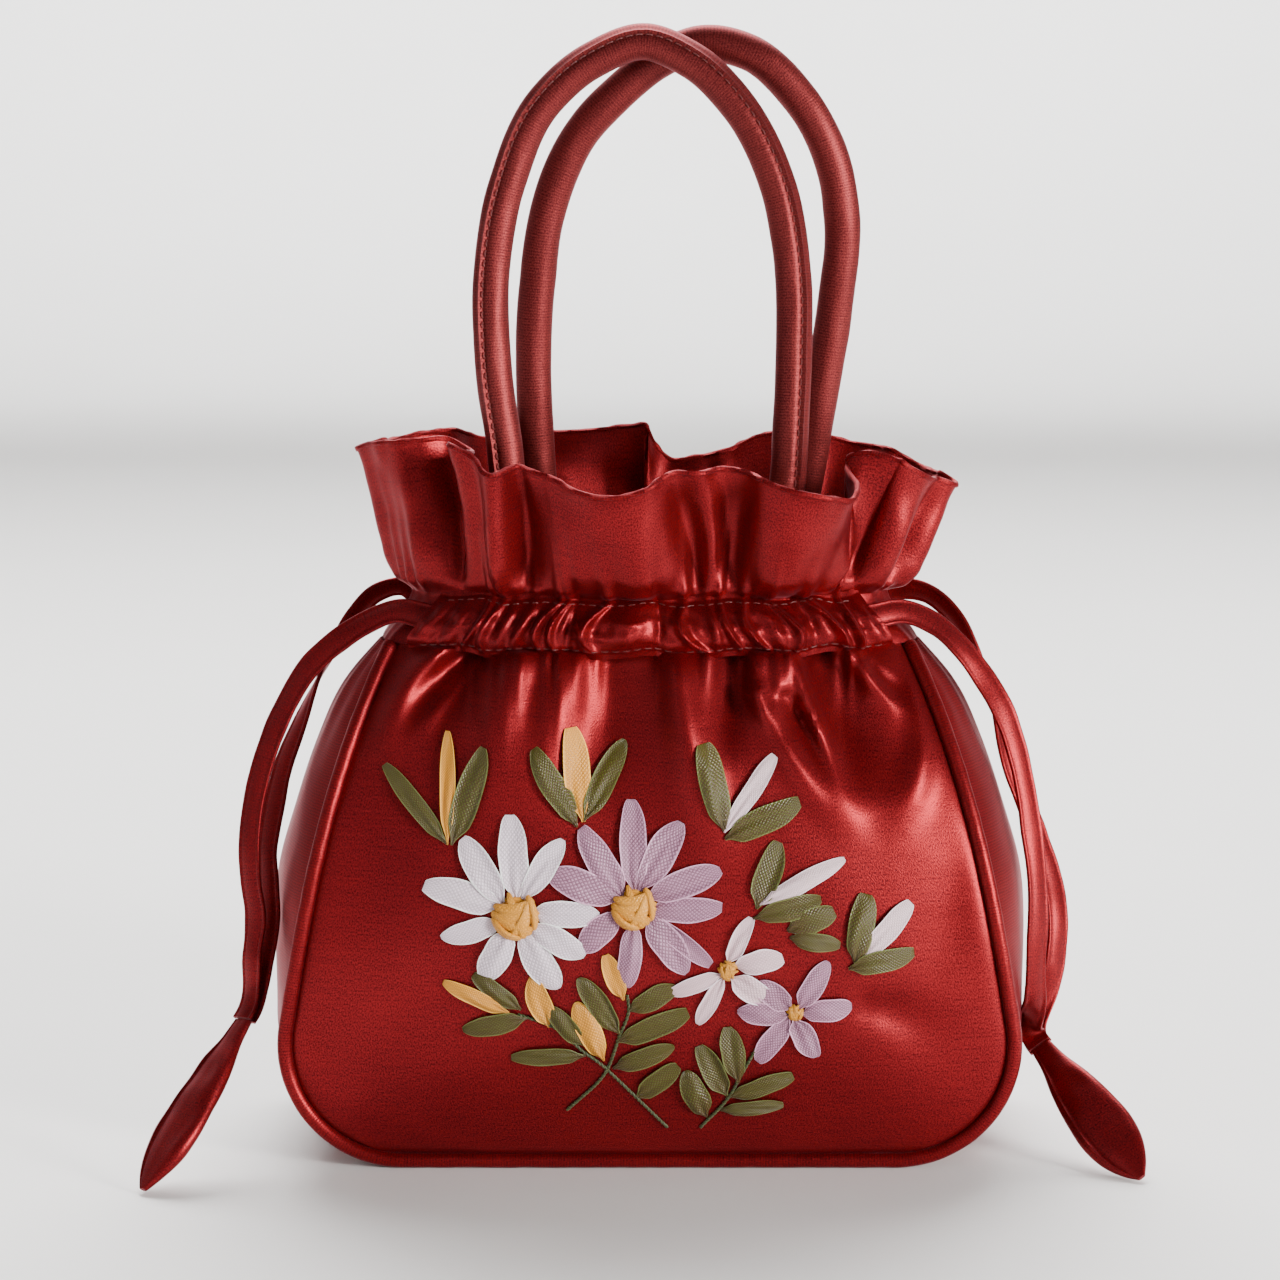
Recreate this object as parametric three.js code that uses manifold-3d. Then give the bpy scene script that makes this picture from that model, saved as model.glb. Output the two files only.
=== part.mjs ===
// A satin drawstring handbag with ribbon embroidery.
// X runs to the right, Y to the back and Z up; the origin is the centre of the flat underside.

import * as THREE from 'three';
import { mergeVertices } from 'three/addons/utils/BufferGeometryUtils.js';
import Module from 'manifold-3d';

const wasm = await Module();
wasm.setup();

// Cloth and clearances, in millimetres
const WALL = 1.6;
const GAP = 0.3;
const FLOOR_GAP = 0.2;

// Body, from the floor to the lower stitch line of the casing
const BODY_WIDTH = 223;
const BODY_DEPTH = 90;
const BODY_HEIGHT = 158;
const CORNER_RADIUS = 36;
const SIDE_LEAN = 9.5;
const SEAM_TOP_WIDTH = 160;
const SEAM_TOP_DEPTH = 26;
const SHOULDER_DEPTH = 62;
const PANEL_BELLY = 9;
const GUSSET_SWELL = 12.6;
const FOLD_HEIGHT = 4;
const PIPING_DIAMETER = 4.6;
const PIPING_PROUD = 0.5;

// Curves of the body: the share of the height below which it keeps its full depth, the power of
// the draw above it, the share of the height in which the belly fills, and powers that square off
// the sections of a panel and of the gusset
const DRAW_START = 0.35;
const DRAW_POWER = 2.3;
const BELLY_RISE = 0.32;
const PANEL_SQUARENESS = 2.4;
const GUSSET_SQUARENESS = 2.2;

// Neck, casing and ruffle
const NECK_WIDTH = 147;
const NECK_DEPTH = 56;
const CASING_HEIGHT = 15.5;
const CASING_SWEEP = 60;
const CHANNEL_DEPTH = 4.4;
const GATHER_HEIGHT = 2.4;
const RUFFLE_WIDTH = 184;
const RUFFLE_DEPTH = 88;
const RUFFLE_HEIGHT = 40;

// Handles
const HANDLE_DIAMETER = 11.2;
const HANDLE_SPAN = 93;
const HANDLE_RISE = 168;
const HANDLE_SPACING = 12;
const HANDLE_SINK = 9;
const HANDLE_SEAT = 0.9;

// Drawstrings and their tabs
const STRING_WIDTH = 8;
const STRING_THICKNESS = 1.5;
const STRING_CLEARANCE = 0.1;
const MOUTH_LEVEL = 0.5;
const MOUTH_TUCK = 3;
const TAB_WIDTH = 18;
const TAB_THICKNESS = 5;

// Ribbon embroidery, with its middle at a share of the body height
const EMBROIDERY_WIDTH = 160;
const EMBROIDERY_LEVEL = 0.479;
const STITCH_LIFT = 0.55;
const STITCH_THICKNESS = 1.1;
const KNOT_HEIGHT = 3.6;

// How finely each surface is divided
const CORNER_STEPS = 6;
const SIDE_STEPS = 10;
const BASE_STEPS = 4;
const FRONT_COLUMNS = 22;
const BACK_COLUMNS = 12;
const GUSSET_COLUMNS = 4;
const RING_COLUMNS = 44;
const FRONT_GATHER_STEP = 2.8;
const BACK_GATHER_STEP = 5;
const PIPING_SIDES = 6;
const HANDLE_SIDES = 9;
const HANDLE_STEPS = 26;
const STRING_STEPS = 15;
const KNOT_SIDES = 8;

const HALF_WIDTH = BODY_WIDTH / 2;
const HALF_DEPTH = BODY_DEPTH / 2;
const PIPING_RADIUS = PIPING_DIAMETER / 2;
const SEAM_INSET = PIPING_RADIUS + GAP;
const SEAM_FLOOR = PIPING_RADIUS + FLOOR_GAP;
const CORNER_X = HALF_WIDTH - CORNER_RADIUS;
const CORNER_Z = SEAM_FLOOR + CORNER_RADIUS;
const LEAN = THREE.MathUtils.degToRad(SIDE_LEAN);
const SIDE_X = CORNER_X + CORNER_RADIUS * Math.cos(LEAN);
const SIDE_Z = CORNER_Z + CORNER_RADIUS * Math.sin(LEAN);
const RING_FOOT = BODY_HEIGHT + GAP;
const NECK_TOP = BODY_HEIGHT + CASING_HEIGHT;

// Swell of the gusset up the body: up is a share of the body height, swell of the gusset's swell
const GUSSET_SHAPE = [
  { up: 0.12, swell: 0 },
  { up: 0.21, swell: 0.28 },
  { up: 0.35, swell: 0.63 },
  { up: 0.53, swell: 1 },
  { up: 0.67, swell: 0.98 },
  { up: 0.81, swell: 0.83 },
  { up: 0.93, swell: 0.6 },
  { up: 1, swell: 0.22 },
];

// Folds of the front: x is a share of the half width and z of the body height at the top, the bend
// and the foot of each fold; wide is a share of the half width and high of the fold height
const FRONT_FOLDS = [
  { topX: -0.49, topZ: 0.99, bendX: -0.76, bendZ: 0.88, footX: -0.7, footZ: 0.8, wide: 0.055, high: 0.8 },
  { topX: -0.29, topZ: 0.98, bendX: -0.46, bendZ: 0.88, footX: -0.42, footZ: 0.74, wide: 0.1, high: 0.9 },
  { topX: 0.08, topZ: 0.97, bendX: 0.1, bendZ: 0.85, footX: 0.11, footZ: 0.6, wide: 0.09, high: 0.7 },
  { topX: 0.29, topZ: 0.97, bendX: 0.3, bendZ: 0.9, footX: 0.36, footZ: 0.76, wide: 0.06, high: 0.6 },
  { topX: 0.37, topZ: 0.96, bendX: 0.44, bendZ: 0.82, footX: 0.56, footZ: 0.66, wide: 0.05, high: 0.7 },
  { topX: 0.48, topZ: 0.99, bendX: 0.76, bendZ: 0.86, footX: 0.66, footZ: 0.66, wide: 0.07, high: 1 },
];
const BACK_FOLDS = [
  { topX: -0.45, topZ: 0.98, bendX: -0.66, bendZ: 0.86, footX: -0.62, footZ: 0.7, wide: 0.09, high: 0.8 },
  { topX: -0.1, topZ: 0.97, bendX: -0.13, bendZ: 0.84, footX: -0.16, footZ: 0.66, wide: 0.11, high: 0.7 },
  { topX: 0.2, topZ: 0.97, bendX: 0.26, bendZ: 0.84, footX: 0.3, footZ: 0.66, wide: 0.1, high: 0.8 },
  { topX: 0.5, topZ: 0.98, bendX: 0.68, bendZ: 0.86, footX: 0.66, footZ: 0.7, wide: 0.08, high: 0.8 },
];

// Gathers of the casing: turn and wide are in degrees round the neck, high a share of the height
const FRONT_GATHERS = [
  { turn: -50, wide: 3, high: 0.5 },
  { turn: -41, wide: 2.2, high: 0.8 },
  { turn: -35.5, wide: 1.8, high: 0.7 },
  { turn: -28, wide: 2.4, high: 0.9 },
  { turn: -22.5, wide: 2, high: 0.8 },
  { turn: -13.5, wide: 2.4, high: 1 },
  { turn: -4, wide: 4.6, high: 0.9 },
  { turn: 9, wide: 2, high: 0.9 },
  { turn: 14, wide: 1.8, high: 0.7 },
  { turn: 18.5, wide: 1.8, high: 0.8 },
  { turn: 25, wide: 3, high: 1 },
  { turn: 32, wide: 2.4, high: 0.9 },
  { turn: 42, wide: 3, high: 0.9 },
  { turn: 53, wide: 2.6, high: 0.7 },
];
const BACK_GATHERS = [
  { turn: 130, wide: 4, high: 0.8 },
  { turn: 143, wide: 4, high: 0.9 },
  { turn: 156, wide: 4, high: 0.8 },
  { turn: 168, wide: 4, high: 1 },
  { turn: 181, wide: 5, high: 0.8 },
  { turn: 194, wide: 4, high: 0.9 },
  { turn: 207, wide: 4, high: 0.8 },
  { turn: 219, wide: 4, high: 1 },
  { turn: 231, wide: 4, high: 0.7 },
];

// Rim of the ruffle, seen from above: turn is in degrees round the neck from the front middle to
// the right, out and deep are shares of the half width and half depth, rise of the ruffle height
const RIM = [
  { turn: 2, out: 0.03, deep: -1, rise: 0.95 },
  { turn: 15, out: 0.21, deep: -0.86, rise: 1 },
  { turn: 24, out: 0.42, deep: -0.95, rise: 0.95 },
  { turn: 36, out: 0.65, deep: -0.88, rise: 0.81 },
  { turn: 46, out: 0.68, deep: -0.66, rise: 0.87 },
  { turn: 55, out: 0.7, deep: -0.42, rise: 1 },
  { turn: 64, out: 0.82, deep: -0.43, rise: 1.03 },
  { turn: 78, out: 0.93, deep: -0.2, rise: 0.9 },
  { turn: 95, out: 1.02, deep: 0.14, rise: 0.83 },
  { turn: 112, out: 0.95, deep: 0.4, rise: 0.88 },
  { turn: 128, out: 0.86, deep: 0.66, rise: 0.97 },
  { turn: 145, out: 0.62, deep: 0.89, rise: 1.07 },
  { turn: 160, out: 0.34, deep: 0.95, rise: 1.06 },
  { turn: 169, out: 0.18, deep: 0.91, rise: 0.91 },
  { turn: 176, out: 0.06, deep: 0.91, rise: 0.9 },
  { turn: 183, out: -0.03, deep: 0.82, rise: 1.15 },
  { turn: 195, out: -0.25, deep: 0.92, rise: 1.12 },
  { turn: 212, out: -0.55, deep: 0.88, rise: 1.09 },
  { turn: 228, out: -0.73, deep: 0.64, rise: 1.14 },
  { turn: 250, out: -0.88, deep: 0.32, rise: 1.13 },
  { turn: 268, out: -0.96, deep: 0.03, rise: 1.11 },
  { turn: 286, out: -0.86, deep: -0.27, rise: 1.18 },
  { turn: 300, out: -0.71, deep: -0.44, rise: 1.2 },
  { turn: 314, out: -0.64, deep: -0.66, rise: 1.18 },
  { turn: 326, out: -0.54, deep: -0.86, rise: 1.04 },
  { turn: 337, out: -0.35, deep: -0.84, rise: 0.98 },
  { turn: 350, out: -0.17, deep: -0.97, rise: 0.88 },
];

// Handles: turn is in degrees round the neck at each foot; across is a share of the half span and
// up of the rise above the neck along the middle of the tube
const FRONT_HANDLE = {
  side: -1,
  firstTurn: -37,
  lastTurn: 36.5,
  route: [
    { across: -0.95, up: 0.25 },
    { across: -1.03, up: 0.42 },
    { across: -1.04, up: 0.58 },
    { across: -0.94, up: 0.74 },
    { across: -0.71, up: 0.885 },
    { across: -0.37, up: 0.968 },
    { across: -0.03, up: 1 },
    { across: 0.28, up: 0.965 },
    { across: 0.6, up: 0.877 },
    { across: 0.84, up: 0.74 },
    { across: 0.94, up: 0.58 },
    { across: 0.945, up: 0.42 },
    { across: 0.92, up: 0.25 },
  ],
};
const BACK_HANDLE = {
  side: 1,
  firstTurn: 209,
  lastTurn: 137,
  route: [
    { across: -0.76, up: 0.25 },
    { across: -0.78, up: 0.42 },
    { across: -0.75, up: 0.56 },
    { across: -0.66, up: 0.71 },
    { across: -0.46, up: 0.832 },
    { across: -0.22, up: 0.905 },
    { across: 0.05, up: 0.965 },
    { across: 0.34, up: 0.997 },
    { across: 0.66, up: 0.98 },
    { across: 0.97, up: 0.905 },
    { across: 1.19, up: 0.8 },
    { across: 1.28, up: 0.68 },
    { across: 1.24, up: 0.52 },
    { across: 1.16, up: 0.37 },
    { across: 1.09, up: 0.25 },
  ],
};

// Routes of the drawstrings in the open, from the casing to the tab, in millimetres
const STRING_ROUTES = {
  left_front_string: {
    turn: -CASING_SWEEP,
    points: [
      [-78, -12, 168], [-88, -11, 164], [-96, -12, 159], [-105, -13, 151], [-112, -15, 140], [-118, -19, 126],
      [-122, -22, 111], [-123.5, -25, 97], [-123, -27, 86], [-121.5, -29, 76], [-122.5, -31, 64],
    ],
    tab: 'left_tab',
    layer: 1,
  },
  left_back_string: {
    turn: CASING_SWEEP - 180,
    points: [
      [-78, 14, 172], [-86, 13, 170], [-93, 11, 163], [-99, 9, 154], [-105, 5, 142], [-110, 0, 130],
      [-114.5, -6, 118], [-117, -12, 106], [-118.5, -18, 94], [-118, -22, 84], [-117.5, -25.5, 73],
      [-119, -29, 62],
    ],
    tab: 'left_tab',
    layer: -1,
  },
  right_front_string: {
    turn: CASING_SWEEP,
    points: [
      [78, -13, 168], [88, -12, 164], [96, -13, 157], [103, -14, 148], [109, -16, 138], [113, -18, 127],
      [116, -20, 114], [118, -22, 101], [119.5, -24, 88], [120, -26, 75], [119.5, -27, 62],
      [119.5, -26, 50],
    ],
    tab: 'right_tab',
    layer: 1,
  },
  right_back_string: {
    turn: 180 - CASING_SWEEP,
    points: [
      [78, 15, 171], [87, 14, 170], [95, 12, 164], [101, 9, 154], [106, 7, 142], [110, 5, 130],
      [114, 4, 117], [118.5, 3, 105], [123, 1, 93], [127, -2, 81], [128.5, -6, 69], [127.5, -9, 56],
    ],
    tab: 'right_tab',
    layer: -1,
  },
};
const TABS = {
  left_tab: { top: [-125, -36, 44], tip: [-152, -72, 1.6], facing: [-0.7, -0.7, 0.3] },
  right_tab: { top: [122.5, -18, 31], tip: [149, -60, 1.6], facing: [0, -1, 0.2] },
};
const TAB_OUTLINE = [
  { along: 0, wide: 0.38, thick: 0.4 },
  { along: 0.12, wide: 0.48, thick: 0.6 },
  { along: 0.3, wide: 0.76, thick: 0.9 },
  { along: 0.5, wide: 0.95, thick: 1 },
  { along: 0.68, wide: 1, thick: 1 },
  { along: 0.84, wide: 0.78, thick: 0.8 },
  { along: 0.95, wide: 0.4, thick: 0.5 },
  { along: 1, wide: 0.14, thick: 0.3 },
];

// Embroidery chart: places and widths are hundredths of the embroidery width from its middle,
// first across and then up; each stitch lies from its root to its tip
const FLOWERS = {
  lilac_daisy: {
    middle: [-3, 5.3],
    knot: 4,
    colour: 0xc9a3c4,
    petals: [
      { tip: [-3, 24.9], wide: 5.2 },
      { tip: [4.9, 21.5], wide: 5.8 },
      { tip: [12.8, 13.1], wide: 5.4 },
      { tip: [13.4, 3.9], wide: 5 },
      { tip: [8.1, -6.2], wide: 5.8 },
      { tip: [-4, -10], wide: 4.4 },
      { tip: [-13.8, -1.8], wide: 5.4 },
      { tip: [-18.9, 12.1], wide: 6 },
      { tip: [-13.8, 19.2], wide: 5.4 },
    ],
  },
  white_daisy: {
    middle: [-25.3, 3.7],
    knot: 4.3,
    colour: 0xe9dcec,
    petals: [
      { tip: [-25.8, 22.3], wide: 5.6 },
      { tip: [-17.2, 18.2], wide: 4.8 },
      { tip: [-36.2, 17.1], wide: 5.6 },
      { tip: [-42.1, 10.2], wide: 5.6 },
      { tip: [-38.9, -1.8], wide: 4.4 },
      { tip: [-30.9, -8.7], wide: 5.6 },
      { tip: [-18.5, -10.8], wide: 5.8 },
      { tip: [-12.5, -4.2], wide: 5 },
    ],
  },
  pink_blossom: {
    middle: [14.7, -6.8],
    knot: 1.8,
    colour: 0xf0d3dc,
    petals: [
      { tip: [18.1, 3.5], wide: 3.4 },
      { tip: [24.7, -3.5], wide: 4.6 },
      { tip: [22.5, -14], wide: 4.8 },
      { tip: [8.9, -17.1], wide: 3.2 },
      { tip: [4, -11.6], wide: 3.2 },
    ],
  },
  lilac_blossom: {
    middle: [27.4, -15],
    knot: 1.5,
    colour: 0xcfa6c0,
    petals: [
      { tip: [33.8, -5.4], wide: 4.2 },
      { tip: [38.1, -14.4], wide: 4.4 },
      { tip: [30.4, -24.2], wide: 4.6 },
      { tip: [19.8, -24.2], wide: 4.4 },
      { tip: [16.6, -15.6], wide: 4.4 },
      { tip: [20.6, -9], wide: 4.6 },
    ],
  },
};
const SPRAYS = {
  left_sprig: {
    stitches: [
      { root: [-38.4, 16.6], tip: [-50, 30.9], wide: 3.6 },
      { root: [-38.4, 16.6], tip: [-37.9, 37], wide: 3 },
      { root: [-37.6, 16.6], tip: [-30.9, 34.5], wide: 5 },
    ],
  },
  middle_sprig: {
    stitches: [
      { root: [-13.2, 20.5], tip: [-23, 33.7], wide: 4.6 },
      { root: [-12.9, 21], tip: [-14.2, 38.3], wide: 5 },
      { root: [-12.3, 21], tip: [-5.3, 35.8], wide: 4.6 },
    ],
  },
  upper_right_sprig: {
    stitches: [
      { root: [13.6, 19.4], tip: [10.9, 35.8], wide: 5 },
      { root: [13.9, 19.4], tip: [23.8, 33], wide: 3.4 },
      { root: [14, 18.6], tip: [28.5, 23.6], wide: 5 },
    ],
  },
  right_sprig: {
    stitches: [
      { root: [19.8, 5], tip: [24.7, 17.1], wide: 5 },
      { root: [20.8, 5.4], tip: [36.4, 14.4], wide: 3.6 },
      { root: [19.4, 3.5], tip: [32.3, 5.8], wide: 4.4 },
      { root: [26, 0.6], tip: [34.5, 4.6], wide: 4.6 },
      { root: [26.4, -0.6], tip: [35.8, -2], wide: 3.4 },
    ],
  },
  outer_right_sprig: {
    stitches: [
      { root: [38.2, -5.4], tip: [41.7, 7], wide: 5 },
      { root: [39.5, -5], tip: [49.6, 5.1], wide: 4.2 },
      { root: [37.5, -6.2], tip: [50, -4.9], wide: 4.2 },
    ],
  },
  crossed_stems: {
    stems: [
      [[-24.9, -15.4], [-17.2, -18.4], [-13, -22.3], [-8.9, -25.5], [-6.2, -28.2], [3.4, -38.3]],
      [[-4.3, -11.5], [-4, -14.2], [-5.8, -19.6], [-8.3, -26.6], [-15.8, -34.7]],
    ],
    stitches: [
      { root: [-24.4, -14.4], tip: [-33.4, -8], wide: 3.4 },
      { root: [-26.6, -15], tip: [-39.1, -9.6], wide: 3 },
      { root: [-23.4, -16], tip: [-35.3, -18.8], wide: 4 },
      { root: [-18.6, -17.6], tip: [-23.4, -8.6], wide: 4.6 },
      { root: [-12.8, -21.8], tip: [-18.5, -13.1], wide: 3.8 },
      { root: [-12.2, -23.4], tip: [-26.2, -23.8], wide: 3.4 },
      { root: [-8.6, -24.4], tip: [-14.2, -13.1], wide: 4.6 },
      { root: [-5, -12.4], tip: [-8.4, -3.8], wide: 3.6 },
      { root: [-6, -19.4], tip: [-12.6, -7.7], wide: 4.4 },
      { root: [-3.8, -15], tip: [4.5, -9.1], wide: 4.2 },
      { root: [-6.2, -20.6], tip: [7.2, -15], wide: 4.4 },
      { root: [-7, -26], tip: [4.5, -21.5], wide: 4 },
      { root: [-2.6, -32], tip: [5.3, -25.5], wide: 4.2 },
    ],
  },
  right_spray: {
    stems: [[[20.4, -21.5], [17.2, -27.6], [15.3, -31.4], [9.6, -38.3]]],
    stitches: [
      { root: [14.4, -31.8], tip: [9.8, -21.3], wide: 4.4 },
      { root: [11.2, -35.8], tip: [6, -27], wide: 4.8 },
      { root: [16.4, -29], tip: [15.5, -17.7], wide: 4.6 },
      { root: [15.2, -32], tip: [27, -27.4], wide: 3.6 },
      { root: [13.4, -34.6], tip: [25.3, -33.5], wide: 2.8 },
    ],
  },
};
const STITCH_SHAPE = [
  { along: 0, wide: 0.4, thick: 0.7 },
  { along: 0.55, wide: 1, thick: 1 },
  { along: 1, wide: 0.22, thick: 0.6 },
];
const STEM_WIDTH = 1.1;

// Colours, as hexadecimal red, green and blue
const SATIN = { color: 0x8e1a1e, roughness: 0.42, metalness: 0 };
const SATIN_DARK = { color: 0x7b2a2e, roughness: 0.45, metalness: 0 };
const LEAF = { color: 0x6d7b3a, roughness: 0.6, metalness: 0 };

function clamp(value, low, high) {
  return Math.min(high, Math.max(low, value));
}

// Straight-line reading of one column of a table at a place along it
function read(table, key, column, place) {
  const last = table.length - 1;
  let index = 0;
  while (index < last - 1 && place > table[index + 1][key]) index += 1;
  const low = table[index];
  const high = table[index + 1];
  const share = clamp((place - low[key]) / (high[key] - low[key]), 0, 1);
  return low[column] + (high[column] - low[column]) * share;
}

function meshOf(name, geometry, finish) {
  const mesh = new THREE.Mesh(geometry, new THREE.MeshStandardMaterial(finish));
  mesh.name = name;
  return mesh;
}

function signedVolume(points, faces) {
  const cross = new THREE.Vector3();
  return faces.reduce(
    (sum, [a, b, c]) => sum + points[a].dot(cross.crossVectors(points[b], points[c])) / 6,
    0,
  );
}

// A closed geometry from points and triangles, turned so that its faces point out
function solidOf(points, faces) {
  const outward = signedVolume(points, faces) > 0;
  const index = faces.flatMap(([a, b, c]) => (outward ? [a, b, c] : [a, c, b]));
  const geometry = new THREE.BufferGeometry();
  const places = points.flatMap((p) => p.toArray());
  geometry.setAttribute('position', new THREE.Float32BufferAttribute(places, 3));
  geometry.setIndex(index);
  geometry.computeVertexNormals();
  return geometry;
}

// Normals of a grid of points; a closed grid goes round in its columns. Level ends are rows whose
// normals stay level, and a square edge is the axis that the normals of the end columns leave out
function gridNormals(grid, closed, levelEnds, squareEdge) {
  const rows = grid.length;
  const columns = grid[0].length;
  return grid.map((row, i) => row.map((_, j) => {
    const up = grid[Math.min(i + 1, rows - 1)][j];
    const down = grid[Math.max(i - 1, 0)][j];
    const right = closed ? row[(j + 1) % columns] : row[Math.min(j + 1, columns - 1)];
    const left = closed ? row[(j + columns - 1) % columns] : row[Math.max(j - 1, 0)];
    const rise = new THREE.Vector3().subVectors(up, down);
    const run = new THREE.Vector3().subVectors(right, left);
    const normal = new THREE.Vector3().crossVectors(run, rise);
    if (levelEnds.includes(i === 0 ? 'first' : i === rows - 1 ? 'last' : '')) normal.z = 0;
    if (squareEdge && (j === 0 || j === columns - 1)) normal[squareEdge] = 0;
    return normal.normalize();
  }));
}

// One face of a cloth wall: the middle surface moved along its normals
function offsetGrid(grid, normals, distance) {
  return grid.map((row, i) => row.map((p, j) => p.clone().addScaledVector(normals[i][j], distance)));
}

// A cloth wall of even thickness round a grid of points on its middle surface
function cloth(grid, { closed = false, levelEnds = [], squareEdge = null } = {}) {
  const rows = grid.length;
  const columns = grid[0].length;
  const normals = gridNormals(grid, closed, levelEnds, squareEdge);
  const outer = offsetGrid(grid, normals, WALL / 2).flat();
  const inner = offsetGrid(grid, normals, -WALL / 2).flat();
  const points = [...outer, ...inner];
  const faces = [];
  const quad = (a, b, c, d) => faces.push([a, b, c], [a, c, d]);
  const at = (i, j, side) => side * rows * columns + i * columns + (j % columns);
  const spans = closed ? columns : columns - 1;
  for (let j = 0; j < spans; j += 1) {
    for (let i = 0; i < rows - 1; i += 1) {
      quad(at(i, j, 0), at(i, j + 1, 0), at(i + 1, j + 1, 0), at(i + 1, j, 0));
      quad(at(i, j, 1), at(i + 1, j, 1), at(i + 1, j + 1, 1), at(i, j + 1, 1));
    }
    quad(at(0, j, 0), at(0, j, 1), at(0, j + 1, 1), at(0, j + 1, 0));
    quad(at(rows - 1, j, 0), at(rows - 1, j + 1, 0), at(rows - 1, j + 1, 1), at(rows - 1, j, 1));
  }
  if (!closed) {
    for (let i = 0; i < rows - 1; i += 1) {
      quad(at(i, 0, 0), at(i + 1, 0, 0), at(i + 1, 0, 1), at(i, 0, 1));
      const end = columns - 1;
      quad(at(i, end, 0), at(i, end, 1), at(i + 1, end, 1), at(i + 1, end, 0));
    }
  }
  return solidOf(points, faces);
}

// A solid through rings of points of equal number, closed by a flat fan at each end
function loft(rings) {
  const count = rings[0].length;
  const points = rings.flat();
  const faces = [];
  for (let i = 0; i < rings.length - 1; i += 1) {
    for (let j = 0; j < count; j += 1) {
      const a = i * count + j;
      const b = i * count + ((j + 1) % count);
      faces.push([a, b, b + count], [a, b + count, a + count]);
    }
  }
  const end = (rings.length - 1) * count;
  for (let j = 1; j < count - 1; j += 1) {
    faces.push([0, j + 1, j], [end, end + j, end + j + 1]);
  }
  return solidOf(points, faces);
}

// Half width of the seam above the corner: a straight lean that draws in to the gathers
function sideWidth(z) {
  const height = BODY_HEIGHT - SIDE_Z;
  const rise = z - SIDE_Z;
  const leaned = SIDE_X - Math.tan(LEAN) * height;
  return SIDE_X - Math.tan(LEAN) * rise - (leaned - SEAM_TOP_WIDTH / 2) * (rise / height) ** 3;
}

// Stations along the right half of a seam, from the middle of the base to the lower stitch line,
// moved towards the middle of the panel by an inset
function seamStations(inset) {
  const stations = [];
  for (let i = 0; i < BASE_STEPS; i += 1) {
    stations.push({ x: (CORNER_X * i) / BASE_STEPS, z: SEAM_FLOOR + inset, nx: 0, nz: -1, turned: 0 });
  }
  for (let i = 0; i <= CORNER_STEPS; i += 1) {
    const turned = i / CORNER_STEPS;
    const angle = THREE.MathUtils.lerp(-Math.PI / 2, LEAN, turned);
    const nx = Math.cos(angle);
    const nz = Math.sin(angle);
    const radius = CORNER_RADIUS - inset;
    stations.push({ x: CORNER_X + radius * nx, z: CORNER_Z + radius * nz, nx, nz, turned });
  }
  for (let i = 1; i <= SIDE_STEPS; i += 1) {
    const z = THREE.MathUtils.lerp(SIDE_Z, BODY_HEIGHT, i / SIDE_STEPS);
    const slope = sideWidth(z) - sideWidth(z + 1);
    const length = Math.hypot(1, slope);
    stations.push({ x: sideWidth(z) - inset * length, z, nx: 1 / length, nz: slope / length, turned: 1 });
  }
  return stations;
}

// Share by which the body has drawn in towards the gathers at a height
function drawnIn(z) {
  return clamp((z / BODY_HEIGHT - DRAW_START) / (1 - DRAW_START), 0, 1) ** DRAW_POWER;
}

// Distance of the seam from the middle plane
function seamDepth(z) {
  return THREE.MathUtils.lerp(HALF_DEPTH, SEAM_TOP_DEPTH / 2, drawnIn(z));
}

// Distance of the middle of a panel from the middle plane
function crownDepth(z) {
  const belly = PANEL_BELLY * Math.sin((Math.PI / 2) * Math.min(1, z / BODY_HEIGHT / BELLY_RISE));
  return THREE.MathUtils.lerp(HALF_DEPTH + belly, SHOULDER_DEPTH / 2, drawnIn(z));
}

// Depth of a panel's section, at a share of the way from its middle to the seam
function sectionDepth(z, share) {
  const seam = seamDepth(z);
  return seam + (crownDepth(z) - seam) * (1 - Math.abs(share) ** PANEL_SQUARENESS);
}

// Height of the folds at a place on a panel: each is a ridge along a bent line, fading at both ends
function foldHeight(folds, x, z) {
  const up = z / BODY_HEIGHT;
  return folds.reduce((sum, fold) => {
    if (up > fold.topZ || up < fold.footZ) return sum;
    const run = (fold.topZ - up) / (fold.topZ - fold.footZ);
    const bend = (fold.topZ - fold.bendZ) / (fold.topZ - fold.footZ);
    const t = run < bend ? (0.5 * run) / bend : 0.5 + (0.5 * (run - bend)) / (1 - bend);
    const line = fold.topX * (1 - t) ** 2 + 2 * fold.bendX * t * (1 - t) + fold.footX * t * t;
    const aside = (x / HALF_WIDTH - line) / fold.wide;
    return sum + FOLD_HEIGHT * fold.high * Math.exp(-aside * aside) * Math.sin(Math.PI * run);
  }, 0);
}

// Middle surface of a panel, in rows from the base up; side is -1 for the front and 1 for the back
function panelGrid(side, folds, columns) {
  return seamStations(SEAM_INSET).slice(BASE_STEPS).map((station) => {
    const row = [];
    for (let j = 0; j <= columns; j += 1) {
      const share = (2 * j) / columns - 1;
      const x = share * station.x;
      const depth = sectionDepth(station.z, x / (station.x + SEAM_INSET));
      row.push(new THREE.Vector3(x, side * (depth + foldHeight(folds, x, station.z)), station.z));
    }
    return side < 0 ? row : row.reverse();
  });
}

function makePanel(name, side, folds, columns) {
  const wall = cloth(panelGrid(side, folds, columns), { levelEnds: ['last'], squareEdge: 'x' });
  return meshOf(name, wall, SATIN);
}

// A seam's stations round the whole U, from the top left to the top right
function wholeSeam(inset) {
  const right = seamStations(inset);
  const left = right.slice(1).reverse().map((s) => ({ ...s, x: -s.x, nx: -s.nx }));
  return [...left, ...right];
}

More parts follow.
